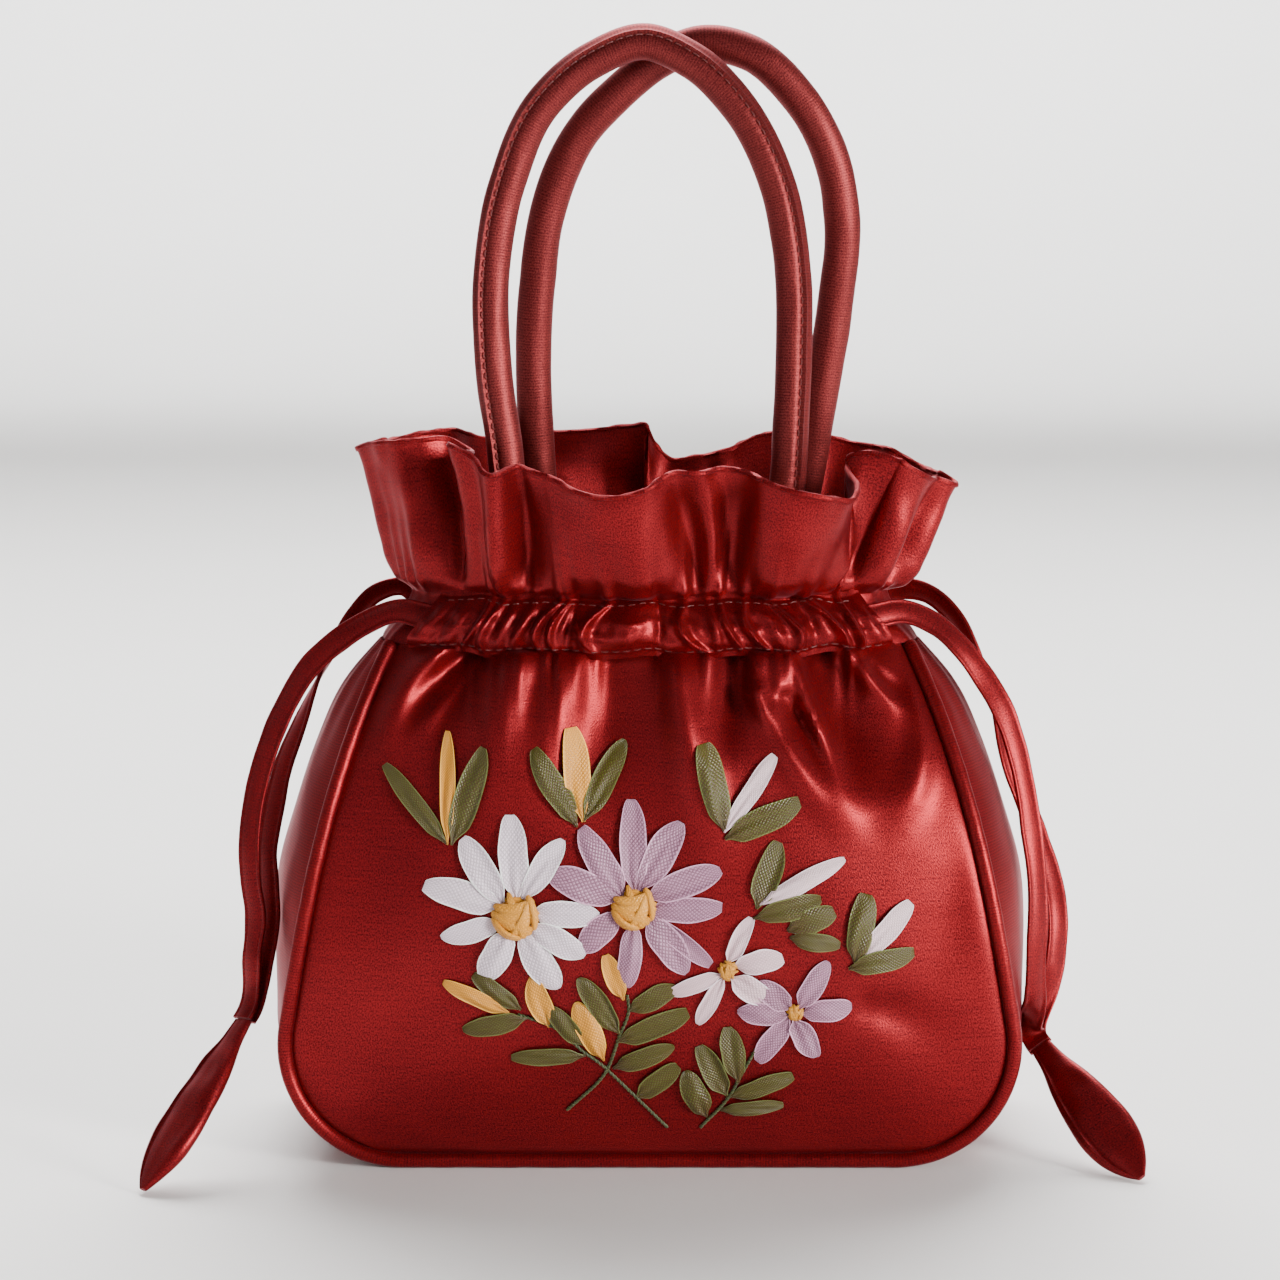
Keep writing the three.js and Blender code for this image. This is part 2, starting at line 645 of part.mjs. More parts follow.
// The gusset: flat on the floor, swelling out at the sides
function makeGusset() {
  const grid = wholeSeam(0).map((station) => {
    const slope = seamDepth(station.z - 1) - seamDepth(station.z);
    const edge = seamDepth(station.z) - SEAM_INSET * Math.hypot(1, slope);
    const swell = GUSSET_SWELL * read(GUSSET_SHAPE, 'up', 'swell', station.z / BODY_HEIGHT);
    const lift = THREE.MathUtils.lerp(SEAM_FLOOR - WALL / 2, -PIPING_PROUD, station.turned);
    const row = [];
    for (let j = 0; j <= GUSSET_COLUMNS; j += 1) {
      const t = (2 * j) / GUSSET_COLUMNS - 1;
      const out = Math.sign(station.x) * swell * (1 - Math.abs(t) ** GUSSET_SQUARENESS);
      const z = station.turned < 1 ? station.z + station.nz * lift : station.z;
      row.push(new THREE.Vector3(station.x + station.nx * lift + out, t * edge, z));
    }
    return row;
  });
  const wall = cloth(grid, { levelEnds: ['first', 'last'], squareEdge: 'y' });
  return meshOf('side_gusset', wall, SATIN);
}

// The covered cord in a seam
function makePiping(name, side) {
  const stations = wholeSeam(0);
  const centres = stations.map((s) => new THREE.Vector3(s.x, side * seamDepth(s.z), s.z));
  centres[0].z -= GAP;
  centres[centres.length - 1].z -= GAP;
  const rings = centres.map((centre, i) => {
    const { nx, nz } = stations[i];
    const out = new THREE.Vector3(nx, 0, nz);
    const along = new THREE.Vector3().subVectors(
      centres[Math.min(i + 1, centres.length - 1)],
      centres[Math.max(i - 1, 0)],
    ).normalize();
    const level = i === 0 || i === centres.length - 1;
    if (level) along.set(0, 0, 1);
    out.addScaledVector(along, -out.dot(along)).normalize();
    const across = new THREE.Vector3().crossVectors(along, out);
    if (across.y < 0) across.negate();
    return Array.from({ length: PIPING_SIDES }, (_, k) => {
      const angle = (2 * Math.PI * k) / PIPING_SIDES;
      return centre.clone()
        .addScaledVector(out, PIPING_RADIUS * Math.cos(angle))
        .addScaledVector(across, PIPING_RADIUS * Math.sin(angle));
    });
  });
  return meshOf(name, loft(rings), SATIN_DARK);
}

// Outline of the top of the body at a turn round the neck, found by halving along a quarter of it
function bodyOutline(turn) {
  const quarter = (share) => {
    if (share <= 1) {
      return [SEAM_TOP_WIDTH / 2 * share, sectionDepth(BODY_HEIGHT, share)];
    }
    const t = 2 - share;
    const swell = GUSSET_SWELL * GUSSET_SHAPE[GUSSET_SHAPE.length - 1].swell;
    return [SEAM_TOP_WIDTH / 2 + swell * (1 - t ** GUSSET_SQUARENESS), (SEAM_TOP_DEPTH / 2) * t];
  };
  const goal = Math.acos(Math.abs(Math.cos(turn)));
  let low = 0;
  let high = 2;
  for (let i = 0; i < 30; i += 1) {
    const share = (low + high) / 2;
    const [x, y] = quarter(share);
    if (Math.atan2(x / NECK_WIDTH, y / NECK_DEPTH) < goal) low = share;
    else high = share;
  }
  const [x, y] = quarter(low);
  return [Math.sign(Math.sin(turn)) * x, -Math.sign(Math.cos(turn)) * y];
}

// Rim of the ruffle at a turn in degrees
function rimPoint(turn) {
  const place = THREE.MathUtils.euclideanModulo(turn - RIM[0].turn, 360) + RIM[0].turn;
  const table = [...RIM, { ...RIM[0], turn: RIM[0].turn + 360 }];
  return new THREE.Vector3(
    read(table, 'turn', 'out', place) * (RUFFLE_WIDTH / 2),
    read(table, 'turn', 'deep', place) * (RUFFLE_DEPTH / 2),
    NECK_TOP + read(table, 'turn', 'rise', place) * RUFFLE_HEIGHT,
  );
}

// Middle surface of the neck and ruffle: level 0 is the lower stitch line, 1 the upper, 2 the rim
function ringPoint(turn, level) {
  const angle = THREE.MathUtils.degToRad(turn);
  const neck = new THREE.Vector3(
    (NECK_WIDTH / 2) * Math.sin(angle),
    -(NECK_DEPTH / 2) * Math.cos(angle),
    NECK_TOP,
  );
  if (level <= 1) {
    const [x, y] = bodyOutline(angle);
    const ease = THREE.MathUtils.smoothstep(level, -0.2, 1);
    const start = THREE.MathUtils.smoothstep(0, -0.2, 1);
    const share = (ease - start) / (1 - start);
    return new THREE.Vector3(
      THREE.MathUtils.lerp(x, neck.x, share),
      THREE.MathUtils.lerp(y, neck.y, share),
      THREE.MathUtils.lerp(RING_FOOT, NECK_TOP, level),
    );
  }
  const rim = rimPoint(turn);
  const flare = (level - 1) ** 1.2;
  return new THREE.Vector3(
    THREE.MathUtils.lerp(neck.x, rim.x, flare),
    THREE.MathUtils.lerp(neck.y, rim.y, flare),
    THREE.MathUtils.lerp(neck.z, rim.z, level - 1),
  );
}

function makeRuffle() {
  const levels = [0, 0.33, 0.67, 1, 1.2, 1.45, 1.72, 2];
  const grid = levels.map((level) => Array.from(
    { length: RING_COLUMNS },
    (_, j) => ringPoint((360 * j) / RING_COLUMNS, level),
  ));
  return meshOf('ruffle', cloth(grid, { closed: true, levelEnds: ['first'] }), SATIN);
}

// Level direction out of the neck at a turn in degrees
function neckNormal(turn) {
  const angle = THREE.MathUtils.degToRad(turn);
  return new THREE.Vector3(Math.sin(angle) / NECK_WIDTH, -Math.cos(angle) / NECK_DEPTH, 0).normalize();
}

// A casing: a strip sewn over the neck along both stitch lines, standing off it in between
function makeCasing(name, middle, gathers, step) {
  const levels = [0.04, 0.36, 0.68, 1];
  const columns = Math.round((2 * CASING_SWEEP) / step);
  const grid = levels.map((level) => Array.from({ length: columns + 1 }, (_, j) => {
    const turn = middle - CASING_SWEEP + (2 * CASING_SWEEP * j) / columns;
    const crest = gathers.reduce((sum, gather) => {
      const aside = (turn - gather.turn) / gather.wide;
      return sum + gather.high * Math.exp(-aside * aside);
    }, 0);
    const puff = Math.sin(Math.PI * level);
    const off = WALL + GAP + CHANNEL_DEPTH * puff + GATHER_HEIGHT * crest * (0.45 + 0.55 * puff);
    return ringPoint(turn, level).addScaledVector(neckNormal(turn), off);
  }));
  return meshOf(name, cloth(grid, { levelEnds: ['first', 'last'] }), SATIN);
}

// Foot of a handle, against the inside of the neck
function handleFoot(turn, z) {
  const level = (z - RING_FOOT) / (NECK_TOP - RING_FOOT);
  const inset = WALL / 2 + HANDLE_SEAT + HANDLE_DIAMETER / 2;
  const foot = ringPoint(turn, level).addScaledVector(neckNormal(turn), -inset);
  foot.z = z;
  return foot;
}

function makeHandle(name, { side, firstTurn, lastTurn, route }) {
  const sunk = NECK_TOP - HANDLE_SINK;
  const first = handleFoot(firstTurn, sunk);
  const last = handleFoot(lastTurn, sunk);
  const footDepth = Math.abs(handleFoot(firstTurn, NECK_TOP).y);
  const middle = route.map(({ across, up }) => new THREE.Vector3(
    (across * HANDLE_SPAN) / 2,
    side * THREE.MathUtils.lerp(footDepth, HANDLE_SPACING / 2, Math.min(1, up) ** 0.8),
    NECK_TOP + up * HANDLE_RISE,
  ));
  const path = new THREE.CatmullRomCurve3([
    first, handleFoot(firstTurn, NECK_TOP), ...middle, handleFoot(lastTurn, NECK_TOP), last,
  ]);
  const round = new THREE.Shape(Array.from({ length: HANDLE_SIDES }, (_, k) => new THREE.Vector2(
    (HANDLE_DIAMETER / 2) * Math.cos((2 * Math.PI * k) / HANDLE_SIDES),
    (HANDLE_DIAMETER / 2) * Math.sin((2 * Math.PI * k) / HANDLE_SIDES),
  )));
  const sweep = { steps: HANDLE_STEPS, extrudePath: path, bevelEnabled: false };
  const geometry = new THREE.ExtrudeGeometry(round, sweep);
  return meshOf(name, geometry, SATIN_DARK);
}

// A ring of points of a flat, rounded section
function flatRing(centre, along, facing, width, thickness) {
  const face = facing.clone().addScaledVector(along, -facing.dot(along)).normalize();
  const across = new THREE.Vector3().crossVectors(along, face);
  const corner = thickness / 2;
  const half = width / 2;
  const upper = [
    [half, corner / 2], [half - corner, corner], [corner - half, corner], [-half, corner / 2],
  ];
  const profile = [...upper, ...upper.map(([u, v]) => [-u, -v])];
  return profile.map(([u, v]) => centre.clone().addScaledVector(across, u).addScaledVector(face, v));
}

// Direction out of the wall of the neck, with its slope
function wallNormal(turn, level) {
  const run = new THREE.Vector3().subVectors(ringPoint(turn + 1, level), ringPoint(turn - 1, level));
  const rise = new THREE.Vector3().subVectors(ringPoint(turn, level + 0.2), ringPoint(turn, level - 0.2));
  return new THREE.Vector3().crossVectors(run, rise).normalize();
}

// Middle line, direction and face of a tab
function tabFrame({ top, tip, facing }) {
  const start = new THREE.Vector3(...top);
  const end = new THREE.Vector3(...tip);
  const along = new THREE.Vector3().subVectors(end, start).normalize();
  const face = new THREE.Vector3(...facing);
  face.addScaledVector(along, -face.dot(along)).normalize();
  return { start, end, along, face };
}

// A drawstring's free run: out of the end of its casing, along its chosen points and down to its
// tab, where one string of the pair lies over the other
function makeString(name, { turn, points, tab, layer }) {
  const tuck = MOUTH_TUCK * Math.sign(Math.sin(THREE.MathUtils.degToRad(2 * turn)));
  const off = WALL / 2 + GAP + STRING_THICKNESS / 2 + CHANNEL_DEPTH / 8;
  const start = wallNormal(turn, MOUTH_LEVEL);
  const mouth = [turn - tuck, turn].map(
    (place) => ringPoint(place, MOUTH_LEVEL).addScaledVector(wallNormal(place, MOUTH_LEVEL), off),
  );
  const frame = tabFrame(TABS[tab]);
  const stack = (STRING_THICKNESS + GAP) / 2 + STRING_CLEARANCE;
  const ends = [2 * STRING_THICKNESS, GAP + STRING_CLEARANCE].map((before) => frame.start.clone()
    .addScaledVector(frame.along, -before)
    .addScaledVector(frame.face, layer * stack));
  const open = points.map((p) => new THREE.Vector3(...p));
  const path = new THREE.CatmullRomCurve3([...mouth, ...open, ...ends]);
  const hanging = new THREE.Vector3(Math.sign(points[0][0]) * 0.6, -0.8, 0);
  const rings = Array.from({ length: STRING_STEPS + 1 }, (_, i) => {
    const share = i / STRING_STEPS;
    const leave = THREE.MathUtils.smoothstep(share, 0.1, start.y > 0 ? 0.6 : 0.35);
    const reach = THREE.MathUtils.smoothstep(share, 0.8, 1);
    const facing = start.clone().lerp(hanging, leave).lerp(frame.face, reach);
    const centre = path.getPointAt(share);
    const along = path.getTangentAt(share);
    return flatRing(centre, along, facing, STRING_WIDTH, STRING_THICKNESS);
  });
  return meshOf(name, loft(rings), SATIN_DARK);
}

function makeTab(name, tab) {
  const { start, end, along, face } = tabFrame(tab);
  const rings = TAB_OUTLINE.map((row) => flatRing(
    new THREE.Vector3().lerpVectors(start, end, row.along),
    along,
    face,
    TAB_WIDTH * row.wide,
    TAB_THICKNESS * row.thick,
  ));
  return meshOf(name, loft(rings), SATIN_DARK);
}

// The outer face of the front panel, in triangles, which the stitches lie on
const frontGrid = panelGrid(-1, FRONT_FOLDS, FRONT_COLUMNS);
const frontFace = offsetGrid(frontGrid, gridNormals(frontGrid, false, ['last'], 'x'), WALL / 2);

// A point over the front at a place on the embroidery chart
function drape([across, up], height) {
  const x = (across * EMBROIDERY_WIDTH) / 100;
  const z = BODY_HEIGHT * EMBROIDERY_LEVEL + (up * EMBROIDERY_WIDTH) / 100;
  const place = new THREE.Vector3(x, 0, z);
  const weights = new THREE.Vector3();
  for (let i = 0; i < frontFace.length - 1; i += 1) {
    for (let j = 0; j < frontFace[0].length - 1; j += 1) {
      const a = frontFace[i][j];
      const b = frontFace[i][j + 1];
      const c = frontFace[i + 1][j + 1];
      const d = frontFace[i + 1][j];
      for (const [p, q, r] of [[a, b, c], [a, c, d]]) {
        const flat = [p, q, r].map((v) => new THREE.Vector3(v.x, 0, v.z));
        THREE.Triangle.getBarycoord(place, ...flat, weights);
        if (Math.min(weights.x, weights.y, weights.z) >= -1e-9) {
          const y = p.y * weights.x + q.y * weights.y + r.y * weights.z;
          return new THREE.Vector3(x, y - height, z);
        }
      }
    }
  }
  throw new Error('a stitch lies off the front panel');
}

// One ribbon stitch: a leaf or petal from its root to its tip, grown on all sides by a clearance
function stitch(root, tip, wide, grow) {
  const across = [root[1] - tip[1], tip[0] - root[0]];
  const length = Math.hypot(...across);
  const extra = (100 * grow) / EMBROIDERY_WIDTH;
  return loft(STITCH_SHAPE.map((row, i) => {
    const last = i === STITCH_SHAPE.length - 1;
    const along = row.along + ((last ? extra : 0) - (i === 0 ? extra : 0)) / length;
    const half = (wide * row.wide) / 2 + extra;
    const side = (sign) => [
      root[0] + (tip[0] - root[0]) * along + (sign * across[0] * half) / length,
      root[1] + (tip[1] - root[1]) * along + (sign * across[1] * half) / length,
    ];
    const low = STITCH_LIFT - grow;
    const high = STITCH_LIFT + STITCH_THICKNESS * row.thick + grow;
    return [drape(side(-1), low), drape(side(1), low), drape(side(1), high), drape(side(-1), high)];
  }));
}

// A stem: a narrow ribbon along its chosen points
function stem(points, grow) {
  const extra = (100 * grow) / EMBROIDERY_WIDTH;
  return loft(points.map((point, i) => {
    const before = points[Math.max(0, i - 1)];
    const after = points[Math.min(points.length - 1, i + 1)];
    const across = [before[1] - after[1], after[0] - before[0]];
    const half = (STEM_WIDTH / 2 + extra) / Math.hypot(...across);
    const side = (sign) => [point[0] + sign * across[0] * half, point[1] + sign * across[1] * half];
    const low = STITCH_LIFT - grow;
    const high = STITCH_LIFT + STITCH_THICKNESS * 0.8 + grow;
    return [drape(side(-1), low), drape(side(1), low), drape(side(1), high), drape(side(-1), high)];
  }));
}

// The knotted middle of a flower: a low dome
function knot(middle, radius, grow) {
  const extra = (100 * grow) / EMBROIDERY_WIDTH;
  const rows = [
    { out: 1, up: 0 },
    { out: 1, up: 0.45 },
    { out: 0.75, up: 0.85 },
    { out: 0.3, up: 1 },
  ];
  const height = KNOT_HEIGHT * Math.min(1, (radius / FLOWERS.white_daisy.knot) + 0.2);
  return loft(rows.map((row) => Array.from({ length: KNOT_SIDES }, (_, k) => {
    const angle = (2 * Math.PI * k) / KNOT_SIDES;
    const out = radius * row.out + extra;
    const lift = row.up === 0 ? -grow : grow;
    return drape(
      [middle[0] + out * Math.cos(angle), middle[1] + out * Math.sin(angle)],
      STITCH_LIFT + height * row.up + lift,
    );
  })));
}

function toManifold(geometry) {
  const bare = geometry.clone();
  bare.deleteAttribute('normal');
  const merged = mergeVertices(bare);
  return new wasm.Manifold(new wasm.Mesh({
    numProp: 3,
    vertProperties: new Float32Array(merged.attributes.position.array),
    triVerts: new Uint32Array(merged.index.array),
  }));
}

function fromManifold(solid) {
  const { vertProperties, triVerts } = solid.getMesh();
  const geometry = new THREE.BufferGeometry();
  geometry.setAttribute('position', new THREE.Float32BufferAttribute(vertProperties, 3));
  geometry.setIndex(new THREE.Uint32BufferAttribute(triVerts, 1));
  geometry.computeVertexNormals();
  return geometry;
}

function joined(geometries) {
  return geometries.map(toManifold).reduce((sum, solid) => sum.add(solid));
}

// A flower's petals run from under its knot to their tips
function flowerSolid({ middle, knot: radius, petals }, grow) {
  const parts = petals.map(({ tip, wide }) => {
    const length = Math.hypot(tip[0] - middle[0], tip[1] - middle[1]);
    const share = (radius * 0.5) / length;
    const root = [middle[0] + (tip[0] - middle[0]) * share, middle[1] + (tip[1] - middle[1]) * share];
    return stitch(root, tip, wide, grow);
  });
  return joined([knot(middle, radius, grow), ...parts]);
}

function spraySolid({ stems = [], stitches }, grow) {
  return joined([
    ...stems.map((points) => stem(points, grow)),
    ...stitches.map(({ root, tip, wide }) => stitch(root, tip, wide, grow)),
  ]);
}

// Motifs in order from the top layer down: each is cut clear of those above it
function makeEmbroidery() {
  const motifs = [
    ...Object.entries(FLOWERS).map(([name, flower]) => ({
      name,
      build: (grow) => flowerSolid(flower, grow),
      finish: { color: flower.colour, roughness: 0.55, metalness: 0 },
    })),
    ...Object.entries(SPRAYS).map(([name, spray]) => ({
      name,
      build: (grow) => spraySolid(spray, grow),
      finish: LEAF,
    })),
  ];
  let above = null;
  return motifs.map(({ name, build, finish }) => {
    const whole = build(0);
    const clear = above ? whole.subtract(above) : whole;
    const grown = build(GAP);
    above = above ? above.add(grown) : grown;
    return meshOf(name, fromManifold(clear), finish);
  });
}

const reticule = new THREE.Group();
reticule.add(makePanel('front_panel', -1, FRONT_FOLDS, FRONT_COLUMNS));
reticule.add(makePanel('back_panel', 1, BACK_FOLDS, BACK_COLUMNS));
reticule.add(makeGusset());
reticule.add(makePiping('front_piping', -1));
reticule.add(makePiping('back_piping', 1));
reticule.add(makeRuffle());
reticule.add(makeCasing('front_casing', 0, FRONT_GATHERS, FRONT_GATHER_STEP));
reticule.add(makeCasing('back_casing', 180, BACK_GATHERS, BACK_GATHER_STEP));
reticule.add(makeHandle('front_handle', FRONT_HANDLE));
reticule.add(makeHandle('back_handle', BACK_HANDLE));
Object.entries(STRING_ROUTES).forEach(([name, route]) => reticule.add(makeString(name, route)));
Object.entries(TABS).forEach(([name, tab]) => reticule.add(makeTab(name, tab)));
makeEmbroidery().forEach((mesh) => reticule.add(mesh));

export default reticule;
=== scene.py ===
"""A burgundy satin reticule with ribbon embroidery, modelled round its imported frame."""

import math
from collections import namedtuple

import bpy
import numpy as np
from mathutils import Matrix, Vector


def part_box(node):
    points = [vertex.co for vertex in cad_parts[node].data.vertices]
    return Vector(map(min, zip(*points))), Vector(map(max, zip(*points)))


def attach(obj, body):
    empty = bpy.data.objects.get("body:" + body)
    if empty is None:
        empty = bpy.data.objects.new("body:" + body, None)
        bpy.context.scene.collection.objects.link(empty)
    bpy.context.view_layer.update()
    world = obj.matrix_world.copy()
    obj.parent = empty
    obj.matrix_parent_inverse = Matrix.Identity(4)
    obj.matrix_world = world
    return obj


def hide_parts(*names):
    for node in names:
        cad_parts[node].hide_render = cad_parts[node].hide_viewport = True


bl_info = {
    "name": "Satin reticule",
    "version": (1, 0, 0),
    "blender": (4, 5, 0),
    "location": "View3D > Sidebar > Reticule",
    "description": "Makes a gathered satin handbag with ribbon flowers",
    "category": "Add Mesh",
}

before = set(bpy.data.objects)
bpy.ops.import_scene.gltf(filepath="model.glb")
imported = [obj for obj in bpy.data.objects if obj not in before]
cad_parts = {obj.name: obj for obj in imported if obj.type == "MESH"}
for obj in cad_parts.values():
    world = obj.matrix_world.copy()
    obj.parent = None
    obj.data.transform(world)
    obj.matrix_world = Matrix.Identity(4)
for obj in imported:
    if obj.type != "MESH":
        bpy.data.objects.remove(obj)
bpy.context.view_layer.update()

BODY_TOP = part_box("side_gusset")[1].z
MM = 0.001
ROOT = "root"

# Camera, in metres and degrees, with its lens and sensor in millimetres
CAMERA_PLACE = (-0.003, -1.1315, 0.3362)
CAMERA_TILT = 81
CAMERA_LENS = 103.1
CAMERA_SENSOR = 36

# Studio lights: where each stands and faces, its width and height in metres, its power in watts,
# its colour and how wide it spreads in degrees
Light = namedtuple("Light", "name place goal size power colour spread")
BAG_MIDDLE = (0.0, 0.0, 0.15)
LIGHTS = [
    Light("key_light", (1.5, -1.2, 0.50), BAG_MIDDLE, (0.45, 0.6), 68, (1.0, 0.97, 0.94), 180),
    Light("fill_light", (-1.5, -1.2, 0.6), BAG_MIDDLE, (0.8, 0.8), 0.8, (0.96, 0.97, 1.0), 180),
    Light("back_light", (0.0, 1.7, 2.2), (0, 0.1, 0), (2.6, 1.6), 70, (1.0, 0.99, 0.98), 90),
    Light("wall_light", (0.0, 1.6, 1.2), (0, 4, 0.9), (3.0, 0.8), 110, (1.0, 1.0, 1.0), 120),
]

# Floor that bends up into the backdrop as a bowl: radius of its flat, and of its bend, in metres
FLOOR_FLAT = 2.6
FLOOR_BEND = 1.4
BACKDROP_HEIGHT = 4.0

# Folds of a panel. Each follows a line bent once, from its top through its bend to its foot: x is a
# share of the body's half width and z of its height, wide is a share of the half width and high a
# share of the fold height, below nought for a hollow.
Fold = namedtuple("Fold", "top_x top_z bend_x bend_z foot_x foot_z wide high")
FRONT_FOLDS = [
    Fold(-0.50, 1.04, -0.83, 0.89, -0.67, 0.75, 0.042, 1.1),
    Fold(-0.43, 1.03, -0.52, 0.95, -0.66, 0.86, 0.046, -0.95),
    Fold(-0.47, 0.98, -0.59, 0.90, -0.68, 0.80, 0.024, 0.45),
    Fold(-0.32, 1.03, -0.44, 0.90, -0.43, 0.66, 0.065, 0.9),
    Fold(-0.20, 1.03, -0.22, 0.92, -0.36, 0.66, 0.06, 0.8),
    Fold(-0.09, 1.03, -0.10, 0.88, -0.12, 0.60, 0.10, -0.9),
    Fold(0.07, 1.03, 0.08, 0.86, 0.22, 0.54, 0.055, 1.0),
    Fold(0.22, 1.03, 0.24, 0.92, 0.20, 0.78, 0.045, -0.8),
    Fold(0.29, 1.04, 0.28, 0.94, 0.30, 0.84, 0.022, 0.8),
    Fold(0.29, 0.93, 0.38, 0.80, 0.60, 0.62, 0.035, 0.5),
    Fold(0.34, 1.02, 0.36, 0.94, 0.36, 0.85, 0.032, 0.7),
    Fold(0.37, 0.92, 0.44, 0.84, 0.54, 0.72, 0.026, -0.5),
    Fold(0.37, 1.04, 0.46, 0.84, 0.58, 0.65, 0.026, 0.9),
    Fold(0.45, 1.02, 0.56, 0.84, 0.62, 0.70, 0.075, -1.1),
    Fold(0.50, 1.04, 0.62, 0.94, 0.76, 0.84, 0.036, 1.0),
    Fold(0.73, 0.92, 0.80, 0.76, 0.62, 0.65, 0.042, 0.8),
    Fold(0.59, 0.99, 0.65, 0.92, 0.75, 0.90, 0.02, -0.55),
    Fold(0.60, 1.03, 0.70, 0.99, 0.77, 0.92, 0.055, 0.6),
    Fold(-0.99, 0.30, -0.90, 0.22, -0.80, 0.12, 0.045, -0.3),
    Fold(0.60, 0.33, 0.76, 0.31, 0.88, 0.22, 0.06, -0.3),
    Fold(-0.62, 0.62, -0.66, 0.42, -0.58, 0.25, 0.12, 0.22),
    Fold(0.86, 0.62, 0.84, 0.44, 0.72, 0.30, 0.10, -0.2),
]
BACK_FOLDS = [
    Fold(-0.52, 1.04, -0.76, 0.88, -0.70, 0.70, 0.05, 1.0),
    Fold(-0.40, 1.04, -0.52, 0.92, -0.56, 0.80, 0.045, -0.8),
    Fold(-0.26, 1.04, -0.38, 0.88, -0.34, 0.66, 0.08, 0.7),
    Fold(-0.10, 1.04, -0.12, 0.90, -0.16, 0.72, 0.08, -0.6),
    Fold(0.04, 1.04, 0.06, 0.88, 0.02, 0.60, 0.07, 0.7),
    Fold(0.18, 1.04, 0.20, 0.92, 0.24, 0.80, 0.05, -0.7),
    Fold(0.30, 1.04, 0.40, 0.86, 0.42, 0.66, 0.05, 0.9),
    Fold(0.42, 1.04, 0.54, 0.88, 0.58, 0.74, 0.06, -0.9),
    Fold(0.53, 1.04, 0.74, 0.88, 0.72, 0.70, 0.05, 1.0),
    Fold(-0.60, 0.50, -0.64, 0.36, -0.52, 0.22, 0.12, 0.2),
    Fold(0.96, 0.32, 0.88, 0.22, 0.78, 0.13, 0.05, -0.3),
]

# Gathers of a casing. Each ridge runs up the channel through three places given in degrees round the
# neck: its foot on the lower stitch line, its middle and its head on the upper one. Wide is in
# degrees and high a share of the gather height.
Gather = namedtuple("Gather", "foot middle head wide high")
FRONT_GATHERS = [
    Gather(-55, -56, -54, 2.0, 0.3),
    Gather(-48, -47, -48, 2.4, 0.35),
    Gather(-42.5, -40.5, -40, 0.9, 0.7),
    Gather(-37, -38.6, -36.4, 1.2, 0.9),
    Gather(-33, -33.6, -33, 1.3, 0.5),
    Gather(-29.5, -29, -27.5, 1.5, 0.8),
    Gather(-23.2, -25.2, -21, 1.0, 1.1),
    Gather(-20.2, -22, -19.2, 0.8, 0.8),
    Gather(-17.5, -18, -17, 1.0, -0.5),
    Gather(-11.5, -14.8, -9.6, 1.3, 1.2),
    Gather(-4.5, -4.8, -4, 4.0, 1.0),
    Gather(1.8, 2.2, 1.8, 1.2, -0.7),
    Gather(12.4, 7, 8, 1.2, 1.1),
    Gather(14, 14.6, 13.2, 1.2, 0.8),
    Gather(19.6, 17, 16.4, 0.9, 0.9),
    Gather(25.7, 21.4, 22.4, 1.1, 1.1),
    Gather(28.5, 28.2, 25.6, 2.0, 0.6),
    Gather(31.6, 34, 28.8, 1.1, 1.0),
    Gather(37, 38.5, 36, 1.6, -0.6),
    Gather(45, 44.5, 38.4, 1.6, 1.0),
    Gather(49.8, 50.6, 50.4, 1.1, 1.0),
    Gather(55.5, 56, 55, 2.2, 0.4),
]
BACK_GATHERS = [
    Gather(126, 127, 128, 2.4, 0.6),
    Gather(134, 132, 134, 1.4, 0.9),
    Gather(141, 143, 141, 1.8, 0.8),
    Gather(149, 147, 148, 1.2, 1.0),
    Gather(155, 157, 156, 2.2, 0.7),
    Gather(163, 161, 163, 1.3, 1.1),
    Gather(170, 171, 169, 2.0, 0.8),
    Gather(177, 175, 177, 1.2, 1.0),
    Gather(184, 185, 184, 2.6, 0.8),
    Gather(192, 190, 191, 1.3, 1.0),
    Gather(199, 200, 199, 2.0, 0.7),
    Gather(206, 204, 206, 1.2, 1.1),
    Gather(213, 214, 213, 2.0, 0.8),
    Gather(221, 219, 220, 1.3, 1.0),
    Gather(228, 229, 229, 2.2, 0.7),
    Gather(235, 234, 235, 1.4, 0.6),
]
SIDE_GATHERS = [
    Gather(68, 68, 68, 2.2, 0.8),
    Gather(76, 76, 76, 2.6, 1.0),
    Gather(85, 85, 85, 2.2, 0.8),
    Gather(94, 94, 94, 2.8, 1.0),
    Gather(103, 103, 103, 2.2, 0.8),
    Gather(112, 112, 112, 2.4, 0.9),
    Gather(248, 248, 248, 2.4, 0.9),
    Gather(257, 257, 257, 2.2, 0.8),
    Gather(266, 266, 266, 2.8, 1.0),
    Gather(275, 275, 275, 2.2, 0.8),
    Gather(284, 284, 284, 2.6, 1.0),
    Gather(292, 292, 292, 2.2, 0.8),
]

